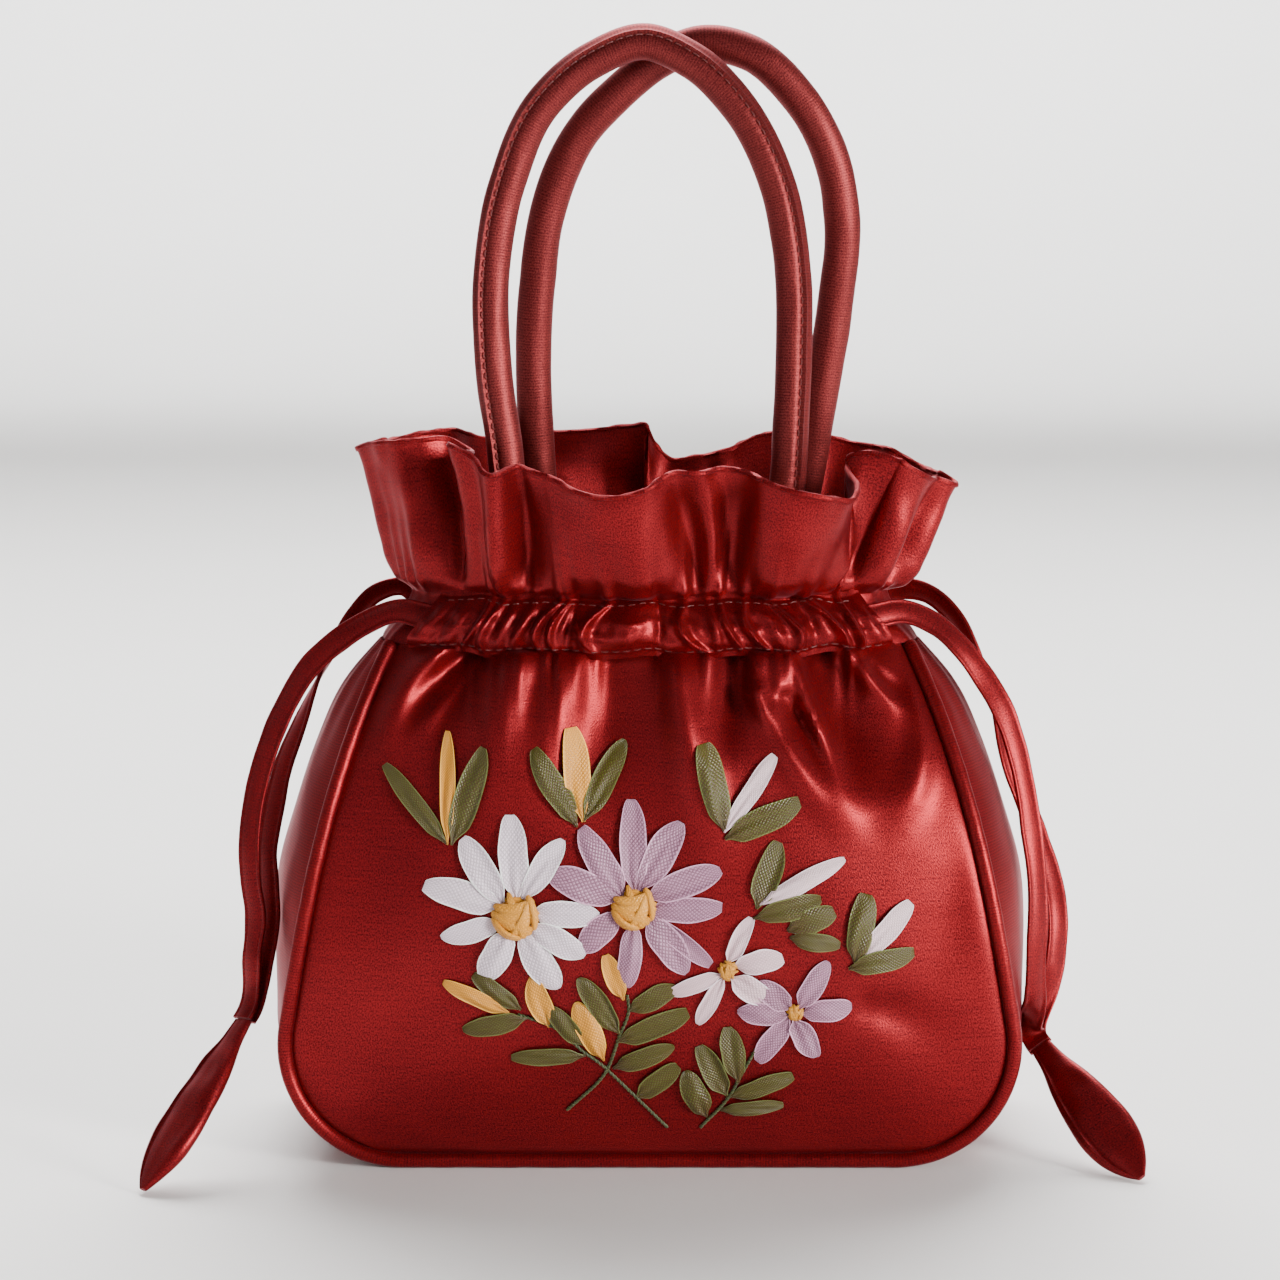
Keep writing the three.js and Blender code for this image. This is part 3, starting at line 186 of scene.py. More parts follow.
# Rim of the ruffle seen from above: turn is in degrees round the neck from the front middle to the
# right, out and deep are shares of the half width and half depth, rise of the ruffle height.
Rim = namedtuple("Rim", "turn out deep rise")
RIM = [
    Rim(3, 0.03, -1.00, 0.95), Rim(5, 0.07, -0.98, 0.97), Rim(12, 0.21, -0.86, 1.00),
    Rim(18, 0.32, -0.86, 0.99), Rim(25, 0.42, -0.95, 0.95), Rim(32, 0.53, -0.98, 0.90),
    Rim(37, 0.60, -0.95, 0.85), Rim(41, 0.65, -0.86, 0.81), Rim(45, 0.68, -0.68, 0.88),
    Rim(50, 0.65, -0.27, 1.01), Rim(54, 0.72, -0.32, 1.09), Rim(60, 0.83, -0.45, 1.03),
    Rim(67, 0.90, -0.27, 0.93), Rim(90, 1.02, 0.14, 0.83), Rim(104, 0.97, 0.34, 0.87),
    Rim(119, 0.86, 0.64, 0.97), Rim(134, 0.72, 0.82, 1.05), Rim(144, 0.59, 0.91, 1.09),
    Rim(160, 0.34, 0.95, 1.06), Rim(164, 0.28, 0.93, 0.99), Rim(169, 0.18, 0.91, 0.91),
    Rim(175, 0.06, 0.91, 0.90), Rim(178, 0.02, 0.86, 1.03), Rim(181, 0.00, 0.77, 1.17),
    Rim(186, -0.08, 0.82, 1.18), Rim(194, -0.22, 0.91, 1.13), Rim(201, -0.34, 0.95, 1.10),
    Rim(215, -0.57, 0.86, 1.09), Rim(221, -0.66, 0.75, 1.13), Rim(230, -0.76, 0.57, 1.15),
    Rim(242, -0.87, 0.34, 1.13), Rim(262, -0.96, 0.05, 1.11), Rim(288, -0.85, -0.27, 1.18),
    Rim(298, -0.76, -0.30, 1.19), Rim(304, -0.67, -0.27, 1.19), Rim(309, -0.60, -0.34, 1.10),
    Rim(312, -0.61, -0.52, 1.12), Rim(315, -0.65, -0.70, 1.20), Rim(321, -0.58, -0.80, 1.11),
    Rim(327, -0.53, -0.86, 1.03), Rim(336, -0.41, -0.86, 1.01), Rim(340, -0.35, -0.82, 0.99),
    Rim(344, -0.28, -0.84, 0.96), Rim(350, -0.18, -0.95, 0.89), Rim(354, -0.11, -0.98, 0.88),
    Rim(358, -0.03, -1.00, 0.91),
]

# Flutes of the ruffle: each ridge, or hollow where high is below nought, runs from its foot on the
# upper stitch line to its head on the rim, both in degrees round the neck
Flute = namedtuple("Flute", "foot head wide high")
FLUTES = [
    Flute(-62, -70, 7, 0.7), Flute(-50, -55, 3.5, -0.5), Flute(-37.5, -31.5, 3, 1.0),
    Flute(-30, -24.5, 4, -1.3), Flute(-16, -15, 6.5, 0.9), Flute(0, -6, 7, 1.1),
    Flute(12, 6.2, 3.4, -1.2), Flute(15.6, 10.2, 2, 0.6), Flute(20.5, 15, 4.5, -1.3),
    Flute(31, 30, 9, 1.3), Flute(47, 52, 4, 0.7), Flute(55, 60, 4, -0.9), Flute(64, 68, 5, 0.8),
    Flute(74, 77, 4, -0.7), Flute(86, 85, 7, 0.9), Flute(98, 97, 4, -0.8), Flute(110, 112, 7, 0.9),
    Flute(123, 121, 4, -0.8), Flute(134, 136, 7, 0.8), Flute(148, 146, 4, -0.9),
    Flute(160, 161, 6, 0.9), Flute(173, 171, 4, -0.8), Flute(187, 188, 7, 0.9),
    Flute(201, 203, 4, -0.8), Flute(213, 212, 7, 0.9), Flute(226, 224, 4, -0.8),
    Flute(238, 240, 7, 0.9), Flute(251, 250, 4, -0.9), Flute(264, 262, 7, 0.8),
]

# Swell of the gusset up the body: up is a share of the body height, swell of the gusset's swell
GUSSET_UP = [0.12, 0.21, 0.35, 0.53, 0.67, 0.81, 0.93, 1.0]
GUSSET_FULL = [0.0, 0.28, 0.63, 1.0, 0.98, 0.83, 0.6, 0.22]

# Handles: side is the way that each lies from the middle, turns the places of its feet in degrees
# round the neck, and route its middle line, across as a share of the half span and up of the rise
Handle = namedtuple("Handle", "name side first_turn last_turn seam route")
HANDLES = [
    Handle("front_handle", -1, -37, 36.5, 24, [
        (-0.95, 0.25), (-1.03, 0.42), (-1.04, 0.58), (-0.94, 0.74), (-0.71, 0.885), (-0.37, 0.968),
        (-0.03, 1), (0.28, 0.965), (0.6, 0.877), (0.84, 0.74), (0.94, 0.58), (0.945, 0.42),
        (0.92, 0.25),
    ]),
    Handle("back_handle", 1, 209, 137, 156, [
        (-0.76, 0.25), (-0.78, 0.42), (-0.75, 0.56), (-0.66, 0.71), (-0.46, 0.832), (-0.22, 0.905),
        (0.05, 0.965), (0.34, 0.997), (0.66, 0.98), (0.97, 0.905), (1.19, 0.8), (1.28, 0.68),
        (1.24, 0.52), (1.16, 0.37), (1.09, 0.25),
    ]),
]

# Drawstrings: where each leaves the neck in degrees, its points in the open in millimetres, its
# tab, and the face of the tab that it lies on
Drawstring = namedtuple("Drawstring", "name turn points tab layer")
DRAWSTRINGS = [
    Drawstring("left_front_string", -60, [
        (-78, -12, 168), (-88, -11, 164), (-96, -12, 159), (-105, -13, 151), (-112, -15, 140),
        (-118, -19, 126), (-122, -22, 111), (-123.5, -25, 97), (-123, -27, 86), (-121.5, -29, 76),
        (-122.5, -31, 64),
    ], "left_tab", 1),
    Drawstring("left_back_string", -120, [
        (-78, 14, 172), (-86, 13, 170), (-93, 11, 163), (-99, 9, 154), (-105, 5, 142),
        (-110, 0, 130), (-114.5, -6, 118), (-117, -12, 106), (-118.5, -18, 94), (-118, -22, 84),
        (-117.5, -25.5, 73), (-119, -29, 62),
    ], "left_tab", -1),
    Drawstring("right_front_string", 60, [
        (78, -13, 168), (88, -12, 164), (96, -13, 157), (103, -14, 148), (109, -16, 138),
        (113, -18, 127), (116, -20, 114), (118, -22, 101), (119.5, -24, 88), (120, -26, 75),
        (119.5, -27, 62), (119.5, -26, 50),
    ], "right_tab", 1),
    Drawstring("right_back_string", 120, [
        (78, 15, 171), (87, 14, 170), (95, 12, 164), (101, 9, 154), (106, 7, 142), (110, 5, 130),
        (114, 4, 117), (118.5, 3, 105), (123, 1, 93), (127, -2, 81), (128.5, -6, 69),
        (127.5, -9, 56),
    ], "right_tab", -1),
]
Tab = namedtuple("Tab", "top tip facing")
TABS = {
    "left_tab": Tab((-125, -36, 44), (-152, -72, 1.6), (-0.7, -0.7, 0.3)),
    "right_tab": Tab((122.5, -18, 31), (149, -60, 1.6), (0, -1, 0.2)),
}
TabRow = namedtuple("TabRow", "along wide thick")
TAB_OUTLINE = [
    TabRow(0, 0.38, 0.4), TabRow(0.12, 0.48, 0.6), TabRow(0.3, 0.76, 0.9), TabRow(0.5, 0.95, 1),
    TabRow(0.68, 1, 1), TabRow(0.84, 0.78, 0.8), TabRow(0.95, 0.4, 0.5), TabRow(1, 0.14, 0.3),
]

# Sewing threads: distance from stitch to stitch, length of a stitch and radius of the thread
Thread = namedtuple("Thread", "pitch dash radius")
CASING_THREAD = Thread(3.4 * MM, 2.1 * MM, 0.15 * MM)
HANDLE_THREAD = Thread(3.1 * MM, 2.0 * MM, 0.2 * MM)
TAB_THREAD = Thread(3.0 * MM, 2.0 * MM, 0.2 * MM)

# Embroidery chart: places and widths are hundredths of the embroidery width from its middle, first
# across and then up. A flower has its middle, its knot's radius, its finish, how open the net of
# its ribbon is, and its petals' tips and widths.
Flower = namedtuple("Flower", "middle knot slot net petals")
FLOWERS = {
    "lilac_daisy": Flower((-3, 5.3), 4, "lilac_ribbon", 0.75, [
        ((-3, 24.9), 5.2), ((4.9, 21.5), 5.8), ((12.8, 13.1), 5.4), ((13.4, 3.9), 5),
        ((8.1, -6.2), 5.8), ((-4, -10), 4.4), ((-13.8, -1.8), 5.4), ((-18.9, 12.1), 6),
        ((-13.8, 19.2), 5.4), ((11.6, -5.6), 3.6),
    ]),
    "white_daisy": Flower((-25.3, 3.7), 4.3, "white_ribbon", 0.42, [
        ((-25.8, 22.3), 5.6), ((-17.2, 18.2), 4.8), ((-36.2, 17.1), 5.6), ((-42.1, 10.2), 5.6),
        ((-38.9, -1.8), 4.4), ((-30.9, -8.7), 5.6), ((-18.5, -10.8), 5.8), ((-12.5, -4.2), 5),
        ((-9.6, 4.6), 5),
    ]),
    "pink_blossom": Flower((14.7, -6.8), 1.8, "pink_ribbon", 0.3, [
        ((18.1, 3.5), 3.4), ((24.7, -3.5), 4.6), ((22.5, -14), 4.8), ((8.9, -17.1), 3.2),
        ((4, -11.6), 3.2),
    ]),
    "lilac_blossom": Flower((27.4, -15), 1.5, "lilac_ribbon", 0.75, [
        ((33.8, -5.4), 4.2), ((38.1, -14.4), 4.4), ((30.4, -24.2), 4.6), ((19.8, -24.2), 4.4),
        ((16.6, -15.6), 4.4), ((20.6, -9), 4.6),
    ]),
}
# A spray has its stitches, each with its root, tip, width and ribbon, and its stems
LEAF = "leaf"
OCHRE = "ochre"
BUD = "bud"
Spray = namedtuple("Spray", "stitches stems")
SPRAYS = {
    "left_sprig": Spray([
        ((-38.4, 16.6), (-50, 30.9), 3.6, LEAF), ((-38.4, 16.6), (-37.9, 37), 3, OCHRE),
        ((-37.6, 16.6), (-30.9, 34.5), 5, LEAF),
    ], []),
    "middle_sprig": Spray([
        ((-13.2, 20.5), (-23, 33.7), 4.6, LEAF), ((-12.9, 21), (-14.2, 38.3), 5, OCHRE),
        ((-12.3, 21), (-5.3, 35.8), 4.6, LEAF),
    ], []),
    "upper_right_sprig": Spray([
        ((13.6, 19.4), (10.9, 35.8), 5, LEAF), ((13.9, 19.4), (23.8, 33), 3.4, BUD),
        ((14, 18.6), (28.5, 23.6), 5, LEAF),
    ], []),
    "right_sprig": Spray([
        ((19.8, 5), (24.7, 17.1), 5, LEAF), ((20.8, 5.4), (36.4, 14.4), 3.6, BUD),
        ((19.4, 3.5), (32.3, 5.8), 4.4, LEAF), ((26, 0.6), (34.5, 4.6), 4.6, LEAF),
        ((26.4, -0.6), (35.8, -2), 3.4, LEAF),
    ], []),
    "outer_right_sprig": Spray([
        ((38.2, -5.4), (41.7, 7), 5, LEAF), ((39.5, -5), (49.6, 5.1), 4.2, BUD),
        ((37.5, -6.2), (50, -4.9), 4.2, LEAF),
    ], []),
    "crossed_stems": Spray([
        ((-24.4, -14.4), (-33.4, -8), 3.4, LEAF), ((-26.6, -15), (-39.1, -9.6), 3, OCHRE),
        ((-23.4, -16), (-35.3, -18.8), 4, LEAF), ((-18.6, -17.6), (-23.4, -8.6), 4.6, OCHRE),
        ((-12.8, -21.8), (-18.5, -13.1), 3.8, LEAF), ((-12.2, -23.4), (-26.2, -23.8), 3.4, LEAF),
        ((-8.6, -24.4), (-14.2, -13.1), 4.6, OCHRE), ((-5, -12.4), (-8.4, -3.8), 3.6, OCHRE),
        ((-6, -19.4), (-12.6, -7.7), 4.4, LEAF), ((-3.8, -15), (4.5, -9.1), 4.2, LEAF),
        ((-6.2, -20.6), (7.2, -15), 4.4, LEAF), ((-7, -26), (4.5, -21.5), 4, LEAF),
        ((-2.6, -32), (5.3, -25.5), 4.2, LEAF),
    ], [
        [(-24.9, -15.4), (-17.2, -18.4), (-13, -22.3), (-8.9, -25.5), (-6.2, -28.2), (3.4, -38.3)],
        [(-4.3, -11.5), (-4, -14.2), (-5.8, -19.6), (-8.3, -26.6), (-15.8, -34.7)],
    ]),
    "right_spray": Spray([
        ((14.4, -31.8), (9.8, -21.3), 4.4, LEAF), ((11.2, -35.8), (6, -27), 4.8, LEAF),
        ((16.4, -29), (15.5, -17.7), 4.6, LEAF), ((15.2, -32), (27, -27.4), 3.6, LEAF),
        ((13.4, -34.6), (25.3, -33.5), 2.8, LEAF),
    ], [
        [(20.4, -21.5), (17.2, -27.6), (15.3, -31.4), (9.6, -38.3)],
    ]),
}


def length(name, text, default):
    """A length that a user can set, in metres."""
    return bpy.props.FloatProperty(
        name=name, description=text, default=default, min=0.0, precision=4, unit="LENGTH"
    )


def share(name, text, default):
    """A share or a power that a user can set, with no unit."""
    return bpy.props.FloatProperty(name=name, description=text, default=default, min=0.0)


def paint(name, text, default):
    """A colour that a user can set, as linear red, green, blue and alpha."""
    return bpy.props.FloatVectorProperty(
        name=name, description=text, default=(*default, 1.0), size=4, subtype="COLOR",
        min=0.0, max=1.0,
    )


class ReticuleSizes(bpy.types.PropertyGroup):
    """Sizes of the bag, in metres."""

    body_width: length("Body width", "Width over the seams at the base", 223 * MM)
    body_depth: length("Body depth", "Distance between the two seams at the base", 90 * MM)
    body_height: length("Body height", "Height of the lower stitch line", BODY_TOP)
    corner_radius: length("Corner radius", "Radius of the seam at the lower corners", 36 * MM)
    side_lean: bpy.props.FloatProperty(
        name="Side lean", description="Lean of the sides above the corners",
        default=math.radians(9.5), subtype="ANGLE", unit="ROTATION",
    )
    seam_top_width: length("Seam top width", "Distance between the seams at the gathers", 160 * MM)
    seam_top_depth: length("Seam top depth", "Depth between the seams at the gathers", 26 * MM)
    shoulder_depth: length("Shoulder depth", "Depth of the body at the gathers", 62 * MM)
    panel_belly: length("Panel belly", "Swell of each panel past its seam", 9 * MM)
    gusset_swell: length("Gusset swell", "Swell of the gusset past the seams", 12.6 * MM)
    fold_height: length("Fold height", "Height of the main folds", 6.6 * MM)
    draw_start: share("Draw start", "Share of the height below which the body keeps its depth", 0.35)
    draw_power: share("Draw power", "Power of the draw towards the gathers", 2.3)
    belly_rise: share("Belly rise", "Share of the height in which the belly fills", 0.32)
    panel_squareness: share("Panel squareness", "Power of the panel's section", 2.4)
    gusset_squareness: share("Gusset squareness", "Power of the gusset's section", 2.2)
    wall: length("Wall", "Thickness of the lined cloth in the solid model", 1.6 * MM)
    gap: length("Gap", "Clearance between the solids", 0.3 * MM)
    floor_gap: length("Floor gap", "Clearance under the piping", 0.2 * MM)
    satin_thickness: length("Satin thickness", "Thickness of the shown cloth", 0.8 * MM)
    piping_diameter: length("Piping diameter", "Thickness of the piping", 4.6 * MM)
    piping_proud: length("Piping proud", "Height of the piping over the gusset", 0.5 * MM)
    neck_width: length("Neck width", "Width of the neck at the upper stitch line", 147 * MM)
    neck_depth: length("Neck depth", "Depth of the neck at the upper stitch line", 56 * MM)
    casing_height: length("Casing height", "Distance between the stitch lines", 15.5 * MM)
    casing_sweep: share("Casing sweep", "Half of each casing, in degrees round the neck", 60)
    channel_depth: length("Channel depth", "How far the casing stands off the neck", 4.4 * MM)
    gather_height: length("Gather height", "Height of the gathers", 3.6 * MM)
    ruffle_width: length("Ruffle width", "Width of the ruffle's rim", 184 * MM)
    ruffle_depth: length("Ruffle depth", "Depth of the ruffle's rim", 88 * MM)
    ruffle_height: length("Ruffle height", "Height of the ruffle above the neck", 40 * MM)
    flute_height: length("Flute height", "Height of the flutes of the ruffle", 5.2 * MM)
    hem_diameter: length("Hem diameter", "Thickness of the rolled hem", 1.8 * MM)
    handle_diameter: length("Handle diameter", "Thickness of the handles", 11.2 * MM)
    handle_span: length("Handle span", "Width of a handle", 93 * MM)
    handle_rise: length("Handle rise", "Height of the handles above the neck", 168 * MM)
    handle_spacing: length("Handle spacing", "Distance between the handles at the top", 12 * MM)
    handle_sink: length("Handle sink", "How far the feet reach into the neck", 9 * MM)
    handle_seat: length("Handle seat", "Clearance between a foot and the neck", 0.9 * MM)
    string_width: length("String width", "Width of the drawstrings", 8 * MM)
    string_thickness: length("String thickness", "Thickness of the drawstrings", 1.5 * MM)
    string_clearance: length("String clearance", "Clearance between two drawstrings", 0.1 * MM)
    tab_width: length("Tab width", "Width of the tabs", 18 * MM)
    tab_thickness: length("Tab thickness", "Thickness of the tabs", 5 * MM)
    embroidery_width: length("Embroidery width", "Width of the embroidery", 160 * MM)
    embroidery_level: share("Embroidery level", "Height of its middle, of the body height", 0.479)
    ribbon_lift: length("Ribbon lift", "Height of the ribbons over the satin", 0.35 * MM)
    ribbon_puff: length("Ribbon puff", "Height of the arch of a stitch", 1.2 * MM)
    knot_height: length("Knot height", "Height of the knotted middles", 3.4 * MM)


class ReticuleColours(bpy.types.PropertyGroup):
    """Colours of the cloth, ribbon and thread, as linear red, green and blue."""

    satin_light: paint("Satin light", "Threads of the satin that catch the light", (0.25, 0.009, 0.011))
    satin_dark: paint("Satin dark", "Threads of the satin in the shade", (0.045, 0.001, 0.003))
    handle_light: paint("Handle light", "Lighter threads of the handles", (0.20, 0.026, 0.024))
    handle_dark: paint("Handle dark", "Darker threads of the handles", (0.045, 0.004, 0.006))
    lilac: paint("Lilac", "Lilac ribbon", (0.44, 0.23, 0.34))
    white: paint("White", "White ribbon with a lilac cast", (0.80, 0.68, 0.77))
    pink: paint("Pink", "Pale pink ribbon", (0.78, 0.55, 0.60))
    leaf: paint("Leaf", "Olive ribbon", (0.064, 0.074, 0.005))
    ochre: paint("Ochre", "Ochre-yellow ribbon", (0.74, 0.32, 0.028))
    bud: paint("Bud", "Pinkish-white ribbon", (0.72, 0.54, 0.58))
    stem: paint("Stem", "Green thread of the stems", (0.050, 0.062, 0.012))
    thread: paint("Thread", "Sewing thread", (0.14, 0.016, 0.015))


def smoothstep(value, low, high):
    """Nought below low, one above high, and a smooth S between them."""
    t = np.clip((np.asarray(value, float) - low) / (high - low), 0, 1)
    return t * t * (3 - 2 * t)


def unit(vectors):
    """Vectors brought to a length of one."""
    size = np.linalg.norm(vectors, axis=-1, keepdims=True)
    return vectors / np.maximum(size, 1e-12)


def smooth_read(keys, values, at, period=None):
    """A smooth reading of a table: between two rows it is the cubic (Hermite) whose slope at each
    row is the mean slope of the rows on either side."""
    keys = np.asarray(keys, float)
    values = np.asarray(values, float)
    at = np.asarray(at, float)
    if period:
        first = keys[0]
        keys = np.concatenate([keys[-2:] - period, keys, keys[:3] + period])
        values = np.concatenate([values[-2:], values, values[:3]])
        at = (at - first) % period + first
    slopes = np.gradient(values, keys, axis=0)
    index = np.clip(np.searchsorted(keys, at, side="right") - 1, 0, len(keys) - 2)
    span = keys[index + 1] - keys[index]
    t = np.clip((at - keys[index]) / span, 0, 1)
    if values.ndim > 1:
        span = span[..., None]
        t = t[..., None]
    low = values[index] * (1 + 2 * t) * (1 - t) ** 2 + slopes[index] * span * t * (1 - t) ** 2
    high = values[index + 1] * t * t * (3 - 2 * t) + slopes[index + 1] * span * t * t * (t - 1)
    return low + high


def smooth_line(points, count):
    """Evenly spaced points of a smooth line: cubics through the chosen points, keyed by the chord
    length between them, then spaced again by the length along them."""
    points = np.asarray(points, float)
    chord = np.concatenate([[0], np.cumsum(np.linalg.norm(np.diff(points, axis=0), axis=1))])
    fine = smooth_read(chord, points, np.linspace(0, chord[-1], 20 * len(points)))
    run = np.concatenate([[0], np.cumsum(np.linalg.norm(np.diff(fine, axis=0), axis=1))])
    even = np.linspace(0, run[-1], count)
    return np.stack([np.interp(even, run, fine[:, k]) for k in range(points.shape[1])], axis=1)


def line_length(points):
    """The length of a line through points."""
    return float(np.linalg.norm(np.diff(points, axis=0), axis=1).sum())


def directions(points):
    """Unit directions along a line, from the points before and after each."""
    return unit(np.gradient(points, axis=0))


def square_to(vectors, along):
    """Vectors with their part along a direction taken off, at a length of one."""
    return unit(vectors - np.sum(vectors * along, axis=-1, keepdims=True) * along)


def sweep(path, across, face, profile):
    """Sections carried along a path: each profile point (u, v) lies u across it and v along its
    face. The profile is one section for all, or one for each place on the path."""
    return path[:, None] + across[:, None] * profile[..., :1] + face[:, None] * profile[..., 1:]


def grid_normals(points, wrap=False):
    """Unit normals of a grid: the cross product of its slope along the columns and up the rows."""
    if wrap:
        run = np.roll(points, -1, axis=1) - np.roll(points, 1, axis=1)
    else:
        run = np.gradient(points, axis=1)
    return unit(np.cross(run, np.gradient(points, axis=0)))


def cloth_places(points, wrap=False):
    """Cloth coordinates of a grid in metres: the mean lengths run along its columns and up its
    rows. A grid that closes on itself has one column more."""
    closed = np.concatenate([points, points[:, :1]], axis=1) if wrap else points
    across = np.linalg.norm(np.diff(closed, axis=1), axis=2).mean(axis=0)
    up = np.linalg.norm(np.diff(closed, axis=0), axis=2).mean(axis=1)
    u, v = (np.concatenate([[0], np.cumsum(steps)]) for steps in (across, up))
    return np.stack(np.meshgrid(u, v), axis=2)


class Pieces:
    """Vertices, faces and cloth coordinates gathered for one mesh."""

    def __init__(self):
        self.points = []
        self.faces = []
        self.places = []
        self.paints = []
        self.count = 0

    def quads(self, index, places, reverse=False, paint=0):
        """Four-sided faces between the rows and columns of a grid of vertex numbers."""
        cut = (slice(None, -1), slice(1, None))
        order = [(0, 0), (0, 1), (1, 1), (1, 0)]
        if reverse:
            order.reverse()
        faces = np.stack([index[cut[i], cut[j]] for i, j in order], axis=2).reshape(-1, 4)
        corners = np.stack([places[cut[i], cut[j]] for i, j in order], axis=2)
        self.faces.extend(faces.tolist())
        self.places.append(corners.reshape(-1, 2))
        self.paints.append(np.full(len(faces), paint))

    def grid(self, points, places, wrap=False, reverse=False, paint=0):
        """Adds a grid of points, closed round its columns where wrap is true."""
        rows, columns = points.shape[:2]
        index = self.count + np.arange(rows * columns).reshape(rows, columns)
        self.points.append(points.reshape(-1, 3))
        self.count += rows * columns
        if wrap:
            index = np.concatenate([index, index[:, :1]], axis=1)
        self.quads(index, places, reverse, paint)
        return index

    def cap(self, ring, places, reverse=False, paint=0):
        """Closes the end of a tube with one flat face over its ring."""
        ring = ring[:-1]
        corners = places[:-1]
        if reverse:
            ring = ring[::-1]
            corners = corners[::-1]
        self.faces.append(ring.tolist())
        self.places.append(corners)
        self.paints.append(np.array([paint]))

    def tube(self, rings, paint=0, places=None):
        """A closed tube through rings that run the positive way round its direction."""
        places = cloth_places(rings, wrap=True) if places is None else places
        index = self.grid(rings, places, wrap=True, paint=paint)
        self.cap(index[0], places[0], reverse=True, paint=paint)
        self.cap(index[-1], places[-1], paint=paint)

    def wall(self, points, thickness, wrap=False, paint=0, places=None):
        """A cloth wall: a grid, a second face set in by the thickness along the normals, and
        strips that close its open edges."""
        places = cloth_places(points, wrap) if places is None else places
        inside = points - grid_normals(points, wrap) * thickness
        outer = self.grid(points, places, wrap, paint=paint)
        inner = self.grid(inside, places, wrap, reverse=True, paint=paint)
        edges = [(inner[0], outer[0], places[0]), (outer[-1], inner[-1], places[-1])]
        if not wrap:
            edges.append((outer[:, 0], inner[:, 0], places[:, 0]))
            edges.append((inner[:, -1], outer[:, -1], places[:, -1]))
        for low, high, corners in edges:
            self.quads(np.stack([low, high]), np.stack([corners, corners]), paint=paint)

    def loop(self, rings):
        """A closed tube whose last ring joins its first."""
        closed = np.concatenate([rings, rings[:1]])
        rows, columns = rings.shape[:2]
        index = self.count + np.arange(rows * columns).reshape(rows, columns)
        self.points.append(rings.reshape(-1, 3))
        self.count += rows * columns
        index = np.concatenate([index, index[:1]])
        index = np.concatenate([index, index[:, :1]], axis=1)
        self.quads(index, cloth_places(closed, wrap=True))

    def build(self, name, materials, sharp=math.radians(50)):
        """Makes the mesh object at the origin, with its cloth coordinates as its UV map."""
        mesh = bpy.data.meshes.new(name)
        mesh.from_pydata(np.concatenate(self.points).tolist(), [], self.faces)
        layer = mesh.uv_layers.new(name="cloth")
        layer.data.foreach_set("uv", np.concatenate(self.places).astype(np.float32).ravel())
        mesh.polygons.foreach_set("material_index", np.concatenate(self.paints).astype(np.int32))
        mesh.polygons.foreach_set("use_smooth", np.ones(len(self.faces), bool))
        for material in materials:
            mesh.materials.append(material)
        mesh.update()
        mesh.set_sharp_from_angle(angle=sharp)
        piece = bpy.data.objects.new(name, mesh)
        bpy.context.scene.collection.objects.link(piece)
        return piece


def settle(piece, slot, *nodes):
    """Ties a piece to the body and hides the solids that it stands for. Its slot, the name of its finish,
    is not used.
    """
    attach(piece, ROOT)
    if nodes:
        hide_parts(*nodes)
    return piece


def seam_floor(s):
    """Height of the seam under the base."""
    return s.piping_diameter / 2 + s.floor_gap


def side_width(s, z):
    """Half width of the seam above the corner: a straight lean, less a cubic draw to the gathers."""
    corner_x = s.body_width / 2 - s.corner_radius
    side_x = corner_x + s.corner_radius * math.cos(s.side_lean)
    side_z = seam_floor(s) + s.corner_radius * (1 + math.sin(s.side_lean))
    height = s.body_height - side_z
    rise = z - side_z
    leaned = side_x - math.tan(s.side_lean) * height
    draw = (leaned - s.seam_top_width / 2) * (np.maximum(rise, 0) / height) ** 3
    return side_x - math.tan(s.side_lean) * rise - draw


def seam_half(s, inset, corner_rows, side_rows):
    """The right half of a seam from the end of the base up: x, z and the outward direction. The
    corner is an arc, and the side follows side_width. The inset moves it inwards."""
    corner_x = s.body_width / 2 - s.corner_radius
    corner_z = seam_floor(s) + s.corner_radius
    angle = np.linspace(-math.pi / 2, s.side_lean, corner_rows)
    radius = s.corner_radius - inset
    arc = np.stack([corner_x + radius * np.cos(angle), corner_z + radius * np.sin(angle)], axis=1)
    side_z = corner_z + s.corner_radius * math.sin(s.side_lean)
    z = np.linspace(side_z, s.body_height, side_rows + 1)[1:]
    slope = (side_width(s, z) - side_width(s, z + MM)) / MM
    stretch = np.hypot(1, slope)
    side = np.stack([side_width(s, z) - inset * stretch, z], axis=1)
    out = np.concatenate([
        np.stack([np.cos(angle), np.sin(angle)], axis=1),
        np.stack([1 / stretch, slope / stretch], axis=1),
    ])
    return np.concatenate([arc, side]), out


def whole_seam(s, base_columns, corner_rows, side_rows):
    """The seam round the whole U from the top left to the top right: x, z, outward direction, and
    how far each place has turned from the base to the side."""
    half, out = seam_half(s, 0.0, corner_rows, side_rows)
    turned = np.concatenate([np.linspace(0, 1, corner_rows), np.ones(side_rows)])
    base_x = np.linspace(0, half[0, 0], base_columns)[:-1]
    base = np.stack([base_x, np.full_like(base_x, half[0, 1])], axis=1)
    half = np.concatenate([base, half])
    out = np.concatenate([np.tile([0.0, -1.0], (len(base), 1)), out])
    turned = np.concatenate([np.zeros(len(base)), turned])
    mirror = np.array([-1, 1])
    seam = np.concatenate([half[:0:-1] * mirror, half])
    return seam, np.concatenate([out[:0:-1] * mirror, out]), np.concatenate([turned[:0:-1], turned])


def drawn_in(s, z):
    """Share by which the body has drawn in towards the gathers: a power of the height."""
    return np.clip((z / s.body_height - s.draw_start) / (1 - s.draw_start), 0, 1) ** s.draw_power


def mix(low, high, t):
    """A straight-line mixture of two values."""
    return low + (high - low) * t


